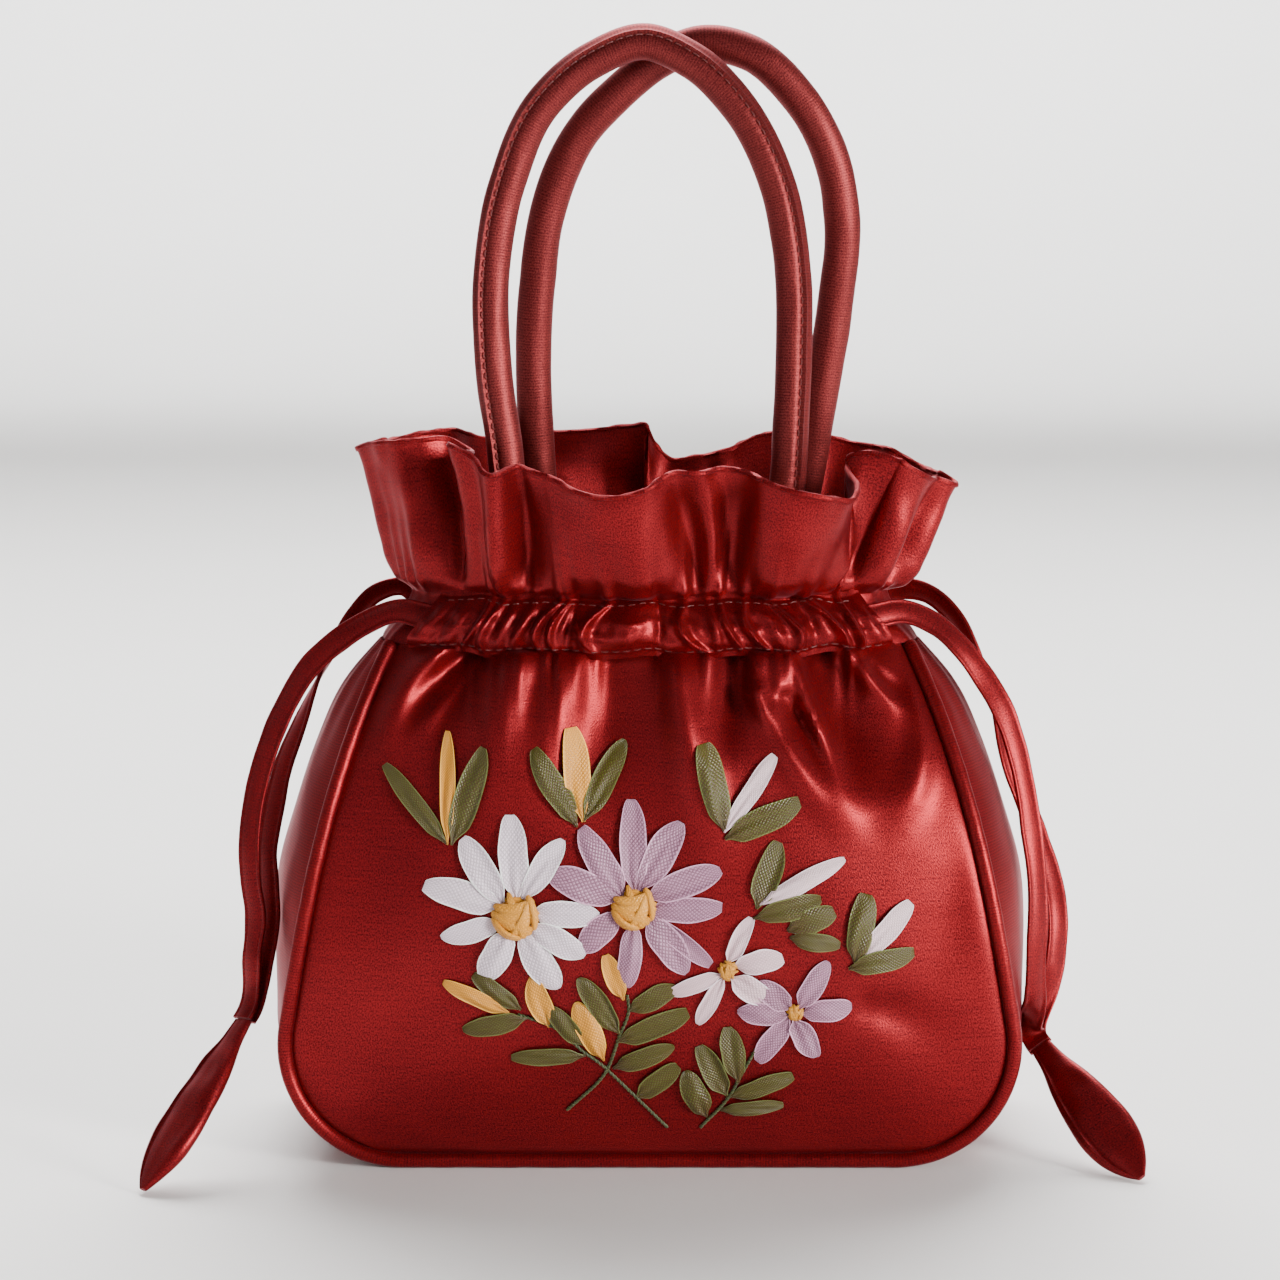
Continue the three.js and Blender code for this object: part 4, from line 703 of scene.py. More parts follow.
def seam_depth(s, z):
    """Distance of the seam from the middle plane."""
    return mix(s.body_depth / 2, s.seam_top_depth / 2, drawn_in(s, z))


def crown_depth(s, z):
    """Distance of the middle of a panel from the middle plane: the seam depth with a belly that
    fills as a quarter of a sine wave, drawn in to the shoulder."""
    belly = s.panel_belly * np.sin(math.pi / 2 * np.clip(z / s.body_height / s.belly_rise, 0, 1))
    return mix(s.body_depth / 2 + belly, s.shoulder_depth / 2, drawn_in(s, z))


def section_depth(s, z, across):
    """Depth of a panel's section: from its crown down to the seam by a power of the share of the
    way across."""
    seam = seam_depth(s, z)
    return seam + (crown_depth(s, z) - seam) * (1 - np.clip(np.abs(across), 0, 1) ** s.panel_squareness)


def from_line(x, z, line):
    """Distance of each point from a bent line, and the share along it of the nearest place."""
    start = line[:-1]
    step = np.diff(line, axis=0)
    dx = x[..., None] - start[:, 0]
    dz = z[..., None] - start[:, 1]
    t = np.clip((dx * step[:, 0] + dz * step[:, 1]) / (step ** 2).sum(axis=1), 0, 1)
    distance = np.hypot(dx - t * step[:, 0], dz - t * step[:, 1])
    nearest = distance.argmin(axis=-1)[..., None]
    near = np.take_along_axis(distance, nearest, axis=-1)[..., 0]
    along = (nearest[..., 0] + np.take_along_axis(t, nearest, axis=-1)[..., 0]) / len(start)
    return near, along


def fold_relief(s, x, z, folds):
    """Height of the folds over a panel: each is a bell curve of the distance from its bent line,
    widening along it, and fading out towards its foot."""
    half = s.body_width / 2
    t = np.linspace(0, 1, 13)[:, None]
    total = np.zeros_like(x)
    for fold in folds:
        top, bend, foot = (
            np.array([a * half, b * s.body_height])
            for a, b in ((fold.top_x, fold.top_z), (fold.bend_x, fold.bend_z), (fold.foot_x, fold.foot_z))
        )
        line = top * (1 - t) ** 2 + bend * 2 * t * (1 - t) + foot * t * t
        distance, along = from_line(x, z, line)
        wide = fold.wide * half * (0.75 + 0.7 * along)
        fade = (1 - smoothstep(along, 0.35, 1)) * (0.75 + 0.25 * smoothstep(along, 0, 0.2))
        total += fold.high * np.exp(-(distance / wide) ** 2) * fade
    return s.fold_height * total


def gather_relief(turn, gathers, level):
    """Height of the gathers as shares: each is a bell curve across a line that runs through its
    foot, middle and head (a quadratic of the level)."""
    total = np.zeros(np.broadcast(turn, level).shape)
    for g in gathers:
        bow = 4 * (g.middle - (g.foot + g.head) / 2)
        line = mix(g.foot, g.head, level) + bow * level * (1 - level)
        total += g.high * np.exp(-((turn - line) / g.wide) ** 2)
    return total


def ripples(x, z, seed, longest, count=14):
    """Soft uneven ripples between about -1 and 1: sine waves of mixed lengths and directions."""
    draw = np.random.default_rng(abs(seed))
    total = np.zeros(np.broadcast(x, z).shape)
    for _ in range(count):
        angle = draw.uniform(0, math.pi)
        size = longest * draw.uniform(0.35, 1.0)
        phase = draw.uniform(0, 2 * math.pi)
        wave = (x * math.cos(angle) + z * math.sin(angle)) * 2 * math.pi / size + phase
        total += np.sin(wave) * size / longest
    return total / math.sqrt(count)


def panel_relief(s, x, z, across, folds, gathers, middle):
    """Folds, small puckers under the stitch line and soft ripples of a panel, all fading out at
    the seams."""
    round_the_neck = 1 if middle == 0 else -1
    at = np.clip(x / (s.seam_top_width / 2), -1, 1)
    turn = middle + round_the_neck * np.degrees(np.arcsin(at))
    puckers = gather_relief(turn, gathers, np.zeros_like(x))
    below = np.clip(s.body_height - z, 0, None)
    pucker_height = 0.75 * s.gather_height * np.exp(-below / (9 * MM))
    pinch = 1.3 * MM * np.exp(-below / (2.2 * MM))
    edge = 1 - np.abs(across) ** 10
    ease = 0.7 * MM * ripples(x, z, 7 + middle, 110 * MM) * smoothstep(z, 0, 0.25 * s.body_height)
    return (fold_relief(s, x, z, folds) + pucker_height * puckers + ease - pinch) * edge


def panel_grid(s, side, folds, gathers, columns, corner_rows, side_rows):
    """The outer face of a panel: rows follow the seam up, columns are shares of the way across,
    and the depth is the section's with the relief on it. The edges roll in towards the piping, and
    the top edge turns in to the neck under the casing."""
    inset = s.piping_diameter / 2 - 0.3 * MM
    seam, _ = seam_half(s, inset, corner_rows, side_rows)
    z = seam[:, 1:] * np.ones(columns)
    across = np.sin(np.linspace(-1, 1, columns) * math.pi / 2 * 0.9) / math.sin(math.pi / 2 * 0.9)
    x = seam[:, :1] * across
    section = section_depth(s, z, x / (seam[:, :1] + inset))
    depth = section + s.wall / 2
    middle = 0 if side < 0 else 180
    rim = np.minimum(seam[:, :1] * (1 - np.abs(across)), z - seam[0, 1] + 0 * x)
    roll = 1.5 * MM * np.exp(-rim / (1.6 * MM))
    depth = depth + panel_relief(s, x, z, across, folds, gathers, middle) - roll
    turned_in = np.array([[0.4], [0.75], [1.0]])
    depth = np.concatenate([depth, mix(depth[-1:], section[-1:], turned_in)])
    x = np.concatenate([x, x[-1:] + 0 * turned_in])
    z = np.concatenate([z, z[-1:] + 1.2 * MM * turned_in])
    grid = np.stack([x, side * depth, z], axis=2)
    return grid if side < 0 else grid[:, ::-1]


def make_panel(s, colours, name, side, folds, gathers):
    """One panel of the body as a cloth wall."""
    parts = Pieces()
    parts.wall(panel_grid(s, side, folds, gathers, 220, 34, 120), s.satin_thickness)
    cloth = satin("panel satin", colours.satin_dark, colours.satin_light)
    piece = parts.build(name + "_satin", [cloth])
    settle(piece, "satin", name)
    return piece


def make_gusset(s, colours):
    """The gusset: a strip along the whole seam, its section a power curve that swells out at the
    sides, with soft creases down from the gathers."""
    seam, out, turned = whole_seam(s, 60, 30, 110)
    edge = seam_depth(s, seam[:, 1]) - 0.4 * s.piping_diameter / 2
    up = seam[:, 1] / s.body_height
    swell = s.gusset_swell * smooth_read(GUSSET_UP, GUSSET_FULL, np.clip(up, GUSSET_UP[0], 1))
    lift = mix(seam_floor(s), s.wall / 2 - s.piping_proud, turned)
    t = np.sin(np.linspace(-1, 1, 56) * math.pi / 2 * 0.9) / math.sin(math.pi / 2 * 0.9)
    y = edge[:, None] * t
    z = (seam[:, 1:] + out[:, 1:] * lift[:, None] * (turned[:, None] < 1)) * np.ones(len(t))
    side = np.sign(seam[:, :1])
    crest = 0.5 + 0.5 * np.cos(2 * math.pi * t * 2.5 + 0.6 * side)
    crease = 0.9 * MM * crest * smoothstep(z, 0.7 * s.body_height, s.body_height)
    slack = 0.35 * MM * ripples(y, z, 31, 45 * MM) * turned[:, None]
    curve = (1 - np.abs(t) ** s.gusset_squareness)
    x = seam[:, :1] + out[:, :1] * lift[:, None] + side * (swell[:, None] * curve)
    x = x + side * (crease + slack) * (1 - np.abs(t) ** 6) * turned[:, None]
    parts = Pieces()
    parts.wall(np.stack([x, y, z], axis=2), s.satin_thickness)
    cloth = satin("gusset satin", colours.satin_dark, colours.satin_light, rib=0.35)
    piece = parts.build("side_gusset_satin", [cloth])
    settle(piece, "satin", "side_gusset")
    return piece


def make_piping(s, colours, name, side):
    """A covered cord along a seam: a circle carried round the U, with a slight ripple of the cover."""
    seam, out, _ = whole_seam(s, 70, 40, 120)
    path = np.stack([seam[:, 0], side * seam_depth(s, seam[:, 1]), seam[:, 1]], axis=1)
    path[[0, -1], 2] -= s.gap
    along = directions(path)
    outward = square_to(np.stack([out[:, 0], 0 * out[:, 0], out[:, 1]], axis=1), along)
    across = np.cross(along, outward)
    angle = np.linspace(0, 2 * math.pi, 14, endpoint=False)
    run = np.linspace(0, 1, len(path))[:, None]
    radius = s.piping_diameter / 2 * (1 + 0.035 * ripples(run, 0.02 * angle, 3, 0.03))
    profile = np.stack([radius * np.cos(angle), radius * np.sin(angle)], axis=2)
    parts = Pieces()
    parts.tube(sweep(path, outward, across, profile))
    cloth = satin("piping satin", colours.satin_dark, colours.satin_light, rib=0.25)
    piece = parts.build(name + "_cover", [cloth])
    settle(piece, "satin", name)
    return piece


def body_outline(s, angle):
    """Outline of the top of the body at angles round the neck: the panel's section, then the
    gusset's, read by the angle that each point makes at the neck's proportions."""
    t = np.linspace(0, 1, 200)
    swell = s.gusset_swell * GUSSET_FULL[-1]
    x = np.concatenate([s.seam_top_width / 2 * t,
                        s.seam_top_width / 2 + swell * (1 - (1 - t[1:]) ** s.gusset_squareness)])
    y = np.concatenate([section_depth(s, s.body_height, t), s.seam_top_depth / 2 * (1 - t[1:])])
    reach = np.arctan2(x / s.neck_width, y / s.neck_depth)
    goal = np.arccos(np.abs(np.cos(angle)))
    return (np.sign(np.sin(angle)) * np.interp(goal, reach, x),
            -np.sign(np.cos(angle)) * np.interp(goal, reach, y))


def neck_top(s):
    """Height of the upper stitch line."""
    return s.body_height + s.casing_height


def rim_points(s, turn):
    """Rim of the ruffle at turns in degrees, from the smooth reading of its table."""
    rows = np.array(RIM)
    out, deep, rise = np.moveaxis(smooth_read(rows[:, 0], rows[:, 1:], turn, period=360), -1, 0)
    return np.stack([
        out * s.ruffle_width / 2, deep * s.ruffle_depth / 2, neck_top(s) + rise * s.ruffle_height,
    ], axis=-1)


def ring(s, turn, level):
    """Middle surface of the neck and ruffle. Level 0 is the lower stitch line, 1 the upper and 2
    the rim: the outline of the body eases into the neck's ellipse, and that flares to the rim."""
    turn, level = np.broadcast_arrays(np.asarray(turn, float), np.asarray(level, float))
    angle = np.radians(turn)
    x, y = body_outline(s, angle)
    neck = np.stack([
        s.neck_width / 2 * np.sin(angle), -s.neck_depth / 2 * np.cos(angle),
        np.full_like(angle, neck_top(s)),
    ], axis=-1)
    start = smoothstep(0, -0.2, 1)
    ease = (smoothstep(np.clip(level, 0, 1), -0.2, 1) - start) / (1 - start)
    foot = s.body_height + s.gap
    body = np.stack([x, y, np.full_like(x, foot)], axis=-1)
    low = mix(body, neck, np.stack([ease, ease, np.clip(level, 0, 1)], axis=-1))
    flare = np.clip(level - 1, 0, 1)
    high = mix(neck, rim_points(s, turn), np.stack([flare ** 1.2, flare ** 1.2, flare], axis=-1))
    return np.where(level[..., None] <= 1, low, high)


def neck_normal(s, turn):
    """Level direction out of the neck."""
    angle = np.radians(turn)
    return unit(np.stack([
        np.sin(angle) / s.neck_width, -np.cos(angle) / s.neck_depth, np.zeros_like(angle),
    ], axis=-1))


def wall_normal(s, turn, level):
    """Direction out of the wall of the neck, with its slope."""
    run = ring(s, turn + 1, level) - ring(s, turn - 1, level)
    rise = ring(s, turn, level + 0.2) - ring(s, turn, level - 0.2)
    return unit(np.cross(run, rise))


def even_turns(s, count):
    """Turns in degrees, spaced so that the columns of the ruffle are even along the neck and rim."""
    turn = np.linspace(0, 360, 3601)
    lines = (ring(s, turn, 1.0), rim_points(s, turn))
    steps = sum(np.linalg.norm(np.diff(line, axis=0), axis=1) for line in lines)
    run = np.concatenate([[0], np.cumsum(steps)])
    return np.interp(np.linspace(0, run[-1], count, endpoint=False), run, turn)


def all_gathers(turn, level):
    """Relief of all the gathers round the neck, with turns from 0 to 360."""
    front = gather_relief((turn + 180) % 360 - 180, FRONT_GATHERS, level)
    return front + gather_relief(turn, BACK_GATHERS + SIDE_GATHERS, level)


def flute_relief(turn, above):
    """Height of the flutes as shares: bell curves across straight lines from foot to head, full
    between the gathers and the rim."""
    total = np.zeros(np.broadcast(turn, above).shape)
    for flute in FLUTES:
        apart = (turn - mix(flute.foot, flute.head, above) + 180) % 360 - 180
        total += flute.high * np.exp(-(apart / flute.wide) ** 2)
    return total * smoothstep(above, -0.05, 0.3) * (1 - 0.45 * smoothstep(above, 0.6, 1))


def ruffle_grid(s, columns):
    """The ruffle's middle surface with its flutes, pleats that rise from the upper stitch line and
    fade upwards, a swell over that line and soft ripples."""
    turn = even_turns(s, columns)[None, :]
    level = np.concatenate([np.linspace(0, 1, 12)[:-1], 1 + np.linspace(0, 1, 52) ** 1.35])[:, None]
    base = ring(s, turn, level)
    normals = grid_normals(base, wrap=True)
    above = np.clip(level - 1, 0, None)
    pleat = all_gathers(turn, np.ones_like(level)) * np.exp(-above / 0.26) * smoothstep(above, -0.02, 0.1)
    puff = smoothstep(above, 0.0, 0.12) * (1 - smoothstep(above, 0.2, 0.9))
    ease = ripples(base[..., 0] + base[..., 1], base[..., 2], 12, 30 * MM) * smoothstep(above, 0, 0.4)
    waver = ripples(turn * 1.2 * MM, 0 * level, 5, 14 * MM) * smoothstep(above, 0.75, 1)
    height = s.flute_height * flute_relief(turn, above) + 0.75 * s.gather_height * pleat
    height = height + MM * (1.9 * puff + 0.4 * ease + 0.4 * waver)
    return base + normals * height[..., None]


def make_ruffle(s, colours):
    """The neck and ruffle as one ring of cloth, and the rolled hem along its rim."""
    grid = ruffle_grid(s, 600)
    normals = grid_normals(grid, wrap=True)
    parts = Pieces()
    parts.wall(grid + normals * s.satin_thickness / 2, s.satin_thickness, wrap=True)
    cloth = satin("ruffle satin", colours.satin_dark, colours.satin_light)
    piece = parts.build("ruffle_satin", [cloth])
    settle(piece, "satin", "ruffle")
    rim = grid[-1]
    along = unit(np.roll(rim, -1, axis=0) - np.roll(rim, 1, axis=0))
    out = square_to(normals[-1], along)
    angle = np.linspace(0, 2 * math.pi, 8, endpoint=False)
    run = np.arange(len(rim))[:, None] / len(rim)
    radius = s.hem_diameter / 2 * (1 + 0.22 * ripples(run, 0.01 * angle, 21, 0.018))
    profile = np.stack([radius * np.cos(angle), radius * np.sin(angle)], axis=2)
    hem = Pieces()
    hem.loop(sweep(rim, out, np.cross(along, out), profile))
    hem_cloth = satin("hem satin", colours.satin_dark, colours.satin_light, rib=0.2, gloss=0.5)
    hem_piece = hem.build("ruffle_hem", [hem_cloth])
    settle(hem_piece, "satin")
    return piece


def casing_surface(s, turn, level, gathers):
    """Outer face of a casing: off the neck by half a sine wave between the stitch lines, with its
    gathers on it. Past either line it turns in under the cloth there, and the lines waver."""
    within = np.clip(level, 0, 1)
    puff = np.sin(math.pi * within)
    past = np.abs(level - within)
    crest = gather_relief(turn, gathers, within)
    off = 0.7 * s.wall + s.gap + s.channel_depth * puff ** 0.7
    off = off + s.gather_height * crest * (0.42 + 0.58 * puff) * (1 - 3 * past)
    creases = ripples(turn * 1.2 * MM, level * s.casing_height, 17, 7 * MM)
    off = off + 0.45 * MM * creases * puff - 6 * MM * past
    surface = ring(s, turn, within) + neck_normal(s, turn * np.ones_like(level)) * off[..., None]
    waver = 0.7 * MM * ripples(turn * 1.2 * MM, 0 * turn, 27, 26 * MM) * np.ones_like(level)
    surface[..., 2] += (level - within) * s.casing_height + waver
    return surface


def make_casing(s, colours, name, middle, gathers, columns):
    """A gathered casing as a cloth wall."""
    turn = np.linspace(middle - s.casing_sweep, middle + s.casing_sweep, columns)[None, :]
    level = (0.5 - 0.5 * np.cos(np.linspace(0, math.pi, 46)))[:, None] * 1.24 - 0.12
    parts = Pieces()
    parts.wall(casing_surface(s, turn, level, gathers), s.satin_thickness)
    cloth = satin("casing satin", colours.satin_dark, colours.satin_light)
    piece = parts.build(name + "_satin", [cloth])
    settle(piece, "satin", name)
    return piece


def dashes(parts, path, normals, thread):
    """Sewing stitches along a path: short six-sided threads, each bowed over its surface as half
    a sine wave and sunk at both ends."""
    run = np.concatenate([[0], np.cumsum(np.linalg.norm(np.diff(path, axis=0), axis=1))])
    starts = np.arange(thread.pitch / 2, run[-1] - thread.dash, thread.pitch)
    t = np.linspace(0, 1, 6)
    angle = np.linspace(0, 2 * math.pi, 6, endpoint=False)
    profile = thread.radius * np.stack([np.cos(angle), np.sin(angle)], axis=1)
    for start in starts:
        place = start + thread.dash * t
        line = np.stack([np.interp(place, run, path[:, k]) for k in range(3)], axis=1)
        up = unit(np.stack([np.interp(place, run, normals[:, k]) for k in range(3)], axis=1))
        line = line + up * (thread.radius * (1.6 * np.sin(math.pi * t) - 0.6))[:, None]
        along = directions(line)
        face = square_to(up, along)
        parts.tube(sweep(line, face, np.cross(along, face), profile))


def make_casing_stitches(s, colours):
    """Running stitches along both stitch lines of both casings."""
    parts = Pieces()
    for middle, gathers in ((0, FRONT_GATHERS), (180, BACK_GATHERS)):
        turn = np.linspace(middle - 57, middle + 57, 500)[None, :]
        for level in (0.055, 0.945):
            band = np.array([[level - 0.02], [level], [level + 0.02]])
            surface = casing_surface(s, turn, band, gathers)
            dashes(parts, surface[1], grid_normals(surface)[1], CASING_THREAD)
    piece = parts.build("casing_stitches", [plain_thread("casing thread", colours.thread)])
    settle(piece, "satin")
    return piece


def handle_foot(s, turn, z):
    """Foot of a handle, against the inside of the neck."""
    level = (z - s.body_height - s.gap) / (s.casing_height - s.gap)
    inset = s.wall / 2 + s.handle_seat + s.handle_diameter / 2
    foot = ring(s, turn, level) - neck_normal(s, turn) * inset
    return np.array([foot[0], foot[1], z])


def handle_line(s, handle, count):
    """Middle line of a handle, from one foot to the other."""
    top = neck_top(s)
    sunk = top - s.handle_sink
    depth = abs(handle_foot(s, handle.first_turn, top)[1])
    route = np.array(handle.route)
    y = handle.side * mix(depth, s.handle_spacing / 2, np.minimum(1, route[:, 1]) ** 0.8)
    middle = np.stack([route[:, 0] * s.handle_span / 2, y, top + route[:, 1] * s.handle_rise], axis=1)
    ends = [handle_foot(s, handle.first_turn, sunk), handle_foot(s, handle.first_turn, top)]
    far = [handle_foot(s, handle.last_turn, top), handle_foot(s, handle.last_turn, sunk)]
    return smooth_line(np.concatenate([ends, middle, far]), count)


def make_handle(s, colours, handle):
    """A padded tube: a circle with a shallow seam valley, carried along the handle's line, with
    small puckers at the seam and soft dents; and the seam's stitches."""
    path = handle_line(s, handle, 360)
    along = directions(path)
    outward = unit(np.cross(along, [0.0, 1.0, 0.0]))
    front = np.cross(along, outward)
    seam = math.radians(handle.seam)
    angle = np.linspace(0, 2 * math.pi, 40, endpoint=False)
    run = np.linspace(0, line_length(path), len(path))[:, None]
    apart = (angle - seam + math.pi) % (2 * math.pi) - math.pi
    valley = np.exp(-(apart / 0.10) ** 2)
    lip = np.exp(-((apart * handle.side + 0.20) / 0.10) ** 2)
    pucker = (0.5 + 0.5 * np.sin(run * 2 * math.pi / (3.1 * MM))) * np.exp(-(apart / 0.5) ** 2)
    dents = ripples(run, angle * s.handle_diameter, 41 + handle.side, 26 * MM)
    radius = s.handle_diameter / 2 + MM * (0.10 * dents + 0.6 * lip - 0.8 * valley - 0.15 * pucker)
    profile = np.stack([radius * np.cos(angle), radius * np.sin(angle)], axis=2)
    parts = Pieces()
    parts.tube(sweep(path, front, outward, profile)[:, ::-1])
    cover = satin("handle satin", colours.handle_dark, colours.handle_light, rib=0.25, gloss=0.42)
    piece = parts.build(handle.name + "_cover", [cover])
    settle(piece, "handle_satin", handle.name)
    direction = front * math.cos(seam) + outward * math.sin(seam)
    line = path + direction * (s.handle_diameter / 2 - 0.15 * MM)
    threads = Pieces()
    clear_of_ends = slice(14, -14)
    dashes(threads, line[clear_of_ends], direction[clear_of_ends], HANDLE_THREAD)
    stitching = threads.build(handle.name + "_stitches", [plain_thread("handle thread", colours.thread)])
    settle(stitching, "handle_satin")
    return piece


def tab_frame(tab):
    """Start, end, direction and face of a tab, in metres."""
    start = np.array(tab.top) * MM
    end = np.array(tab.tip) * MM
    along = unit(end - start)
    face = square_to(np.array(tab.facing, float), along)
    return start, end, along, face


def string_line(s, string, count):
    """Middle line of a drawstring's free run: from its mouth through its points to its tab."""
    tuck = 3 * np.sign(math.sin(math.radians(2 * string.turn)))
    off = s.wall / 2 + s.gap + s.string_thickness / 2 + s.channel_depth / 8
    mouth = [
        ring(s, place, 0.5) + wall_normal(s, place, 0.5) * off
        for place in (string.turn - tuck, float(string.turn))
    ]
    start, _, along, face = tab_frame(TABS[string.tab])
    stack = (s.string_thickness + s.gap) / 2 + s.string_clearance
    ends = [
        start - along * before + face * string.layer * stack
        for before in (2 * s.string_thickness, s.gap + s.string_clearance)
    ]
    return smooth_line(np.concatenate([mouth, np.array(string.points) * MM, ends]), count)


def flat_profile(width, thickness, count=20, groove=0.0, fullness=0.4):
    """A flat rounded section: a superellipse, with a shallow groove near both edges. It is fuller
    in the middle where the fullness is near one."""
    angle = np.linspace(0, 2 * math.pi, count, endpoint=False)
    u = np.sign(np.cos(angle)) * np.abs(np.cos(angle)) ** 0.45 * width / 2
    v = np.sign(np.sin(angle)) * np.abs(np.sin(angle)) ** fullness * thickness / 2
    dip = np.exp(-((np.abs(u) / (width / 2) - 0.72) / 0.07) ** 2)
    return np.stack([u, v * (1 - groove * dip)], axis=1)


def make_drawstring(s, colours, string):
    """A flat drawstring: a rounded section carried along its line, turning from the neck's face to
    the way that it hangs and to its tab's face."""
    path = string_line(s, string, 150)
    along = directions(path)
    run = np.linspace(0, 1, len(path))[:, None]
    start = wall_normal(s, float(string.turn), 0.5)
    hanging = np.array([math.copysign(0.6, string.points[0][0]), -0.8, 0.0])
    _, _, _, face = tab_frame(TABS[string.tab])
    leave = smoothstep(run, 0.1, 0.6 if start[1] > 0 else 0.35)
    reach = smoothstep(run, 0.8, 1)
    facing = square_to(mix(mix(start, hanging, leave), face, reach), along)
    across = np.cross(along, facing)
    waver = 0.10 * ripples(run, 0 * run, 51 + string.turn, 0.3)
    facing = unit(facing + across * waver)
    across = np.cross(along, facing)
    profile = flat_profile(s.string_width, s.string_thickness, 28, 0.55)
    bulge = 1 + 0.05 * ripples(run, 0 * run, 61 + string.turn, 0.12)
    parts = Pieces()
    parts.tube(sweep(path, across, facing, profile[None] * np.stack([bulge, np.ones_like(bulge)], axis=2)))
    cover = satin("string satin", colours.handle_dark, colours.satin_light, rib=0.1)
    piece = parts.build(string.name + "_tape", [cover])
    settle(piece, "satin", string.name)
    return piece


def make_tab(s, colours, name):
    """A padded leaf-shaped tab: flat rounded sections whose width and thickness follow the outline
    table, with a seam round the edge and soft dents."""
    start, end, along, face = tab_frame(TABS[name])
    rows = np.array(TAB_OUTLINE)
    t = np.linspace(0, 1, 70)
    wide, thick = smooth_read(rows[:, 0], rows[:, 1:], t).T
    path = start + (end - start) * t[:, None]
    across = np.cross(along, face)
    profile = flat_profile(s.tab_width, 1.15 * s.tab_thickness, 44, fullness=0.95)
    dents = 1 + 0.16 * ripples(t[:, None] * 60 * MM, profile[:, 0], 71, 18 * MM)
    edge = 1 - 0.5 * np.exp(-((profile[:, 0] / (s.tab_width / 2) - 0.62) / 0.07) ** 2)
    u = profile[:, 0] * wide[:, None]
    v = profile[:, 1] * thick[:, None] * dents * edge
    ones = np.ones((len(t), 3))
    parts = Pieces()
    parts.tube(sweep(path, across * ones, face * ones, np.stack([u, v], axis=2)))
    cloth = satin("tab satin", colours.handle_dark, colours.satin_light, rib=0.1)
    piece = parts.build(name + "_leaf", [cloth])
    settle(piece, "satin", name)
    inner = slice(6, -6)
    lift = 0.26 * s.tab_thickness * thick[inner, None]
    line = path[inner] + across * (0.62 * s.tab_width / 2 * wide[inner, None]) + face * lift
    threads = Pieces()
    dashes(threads, line, np.tile(face, (len(line), 1)), TAB_THREAD)
    stitching = threads.build(name + "_stitches", [plain_thread("tab thread", colours.thread)])
    settle(stitching, "satin")
    return piece


def chart_point(s, place):
    """x and z of places on the embroidery chart."""
    place = np.asarray(place, float)
    unit_length = s.embroidery_width / 100
    return np.stack([
        place[..., 0] * unit_length,
        s.body_height * s.embroidery_level + place[..., 1] * unit_length,
    ], axis=-1)


def front_face(s, x, z):
    """Depth of the front panel's outer face under points, as panel_grid works it out."""
    inset = s.piping_diameter / 2 - 0.3 * MM
    half = np.where(z > seam_floor(s) + s.corner_radius, side_width(s, z), s.body_width / 2)
    across = x / half
    depth = section_depth(s, z, across) + s.wall / 2
    return depth + panel_relief(s, x, z, x / (half - inset), FRONT_FOLDS, FRONT_GATHERS, 0)


def over_front(s, xz, lift):
    """Points over the front panel, at a height off its face."""
    x, z = xz[..., 0], xz[..., 1]
    return np.stack([x, -(front_face(s, x, z) + lift), z], axis=-1)


def add_ribbon(s, parts, root, tip, wide, paint, layer=0.0, seed=0):
    """One ribbon stitch from root to tip. Its half width is a power curve along it, widest past
    the middle; it arches as half a sine wave, its edges stand up, and soft pleats run from the
    root."""
    root, tip = chart_point(s, root), chart_point(s, tip)
    run = tip - root
    along = run / np.linalg.norm(run)
    across = np.array([-along[1], along[0]])
    draw = np.random.default_rng(seed)
    t = (0.5 - 0.5 * np.cos(np.linspace(0, math.pi, 30)))[:, None]
    u = np.linspace(-1, 1, 15)[None, :]
    belly = t ** draw.uniform(0.95, 1.25)
    outline = (1 - np.abs(2 * belly - 1) ** 2.4) ** draw.uniform(0.62, 0.85)
    blunt = draw.uniform(0.12, 0.42)
    half = wide * s.embroidery_width / 200 * (blunt + (1 - blunt) * outline)
    half = half * (0.30 + 0.70 * smoothstep(t, 0, 0.22))
    lean = draw.uniform(-1, 1) * wide * s.embroidery_width / 100
    sway = lean * (0.05 * np.sin(math.pi * t) + 0.32 * t ** 4 - 0.16 * (1 - t) ** 4)
    wave = 1 + 0.03 * np.sin(t * draw.uniform(8, 14) + draw.uniform(0, 6)) * np.sign(u)
    xz = root + run * t[..., None] + across * (u * half * wave + sway)[..., None]
    arch = np.sin(math.pi * np.clip(t, 0, 1)) ** 0.7
    cup = draw.uniform(-1.0, 0.35)
    height = s.ribbon_lift + layer + s.ribbon_puff * arch * (0.72 - cup * (1 - u ** 2))
    height = height + 0.32 * MM * arch * np.abs(u) ** 6
    pleat = np.sin(u * draw.uniform(5, 8) + draw.uniform(0, 6)) * np.exp(-t / 0.35)
    height = height + 0.42 * MM * pleat * np.sin(math.pi * t) ** 0.3
    height = height + 0.22 * MM * np.sin(u * 4 + t * draw.uniform(3, 7) + draw.uniform(0, 6)) * arch
    surface = over_front(s, xz, height)
    widths_along = t * np.linalg.norm(run) / s.embroidery_width * 100 / wide
    places = np.stack(np.broadcast_arrays(0.5 + 0.5 * u, widths_along), axis=2)
    parts.wall(surface, 0.22 * MM, paint=paint, places=places)


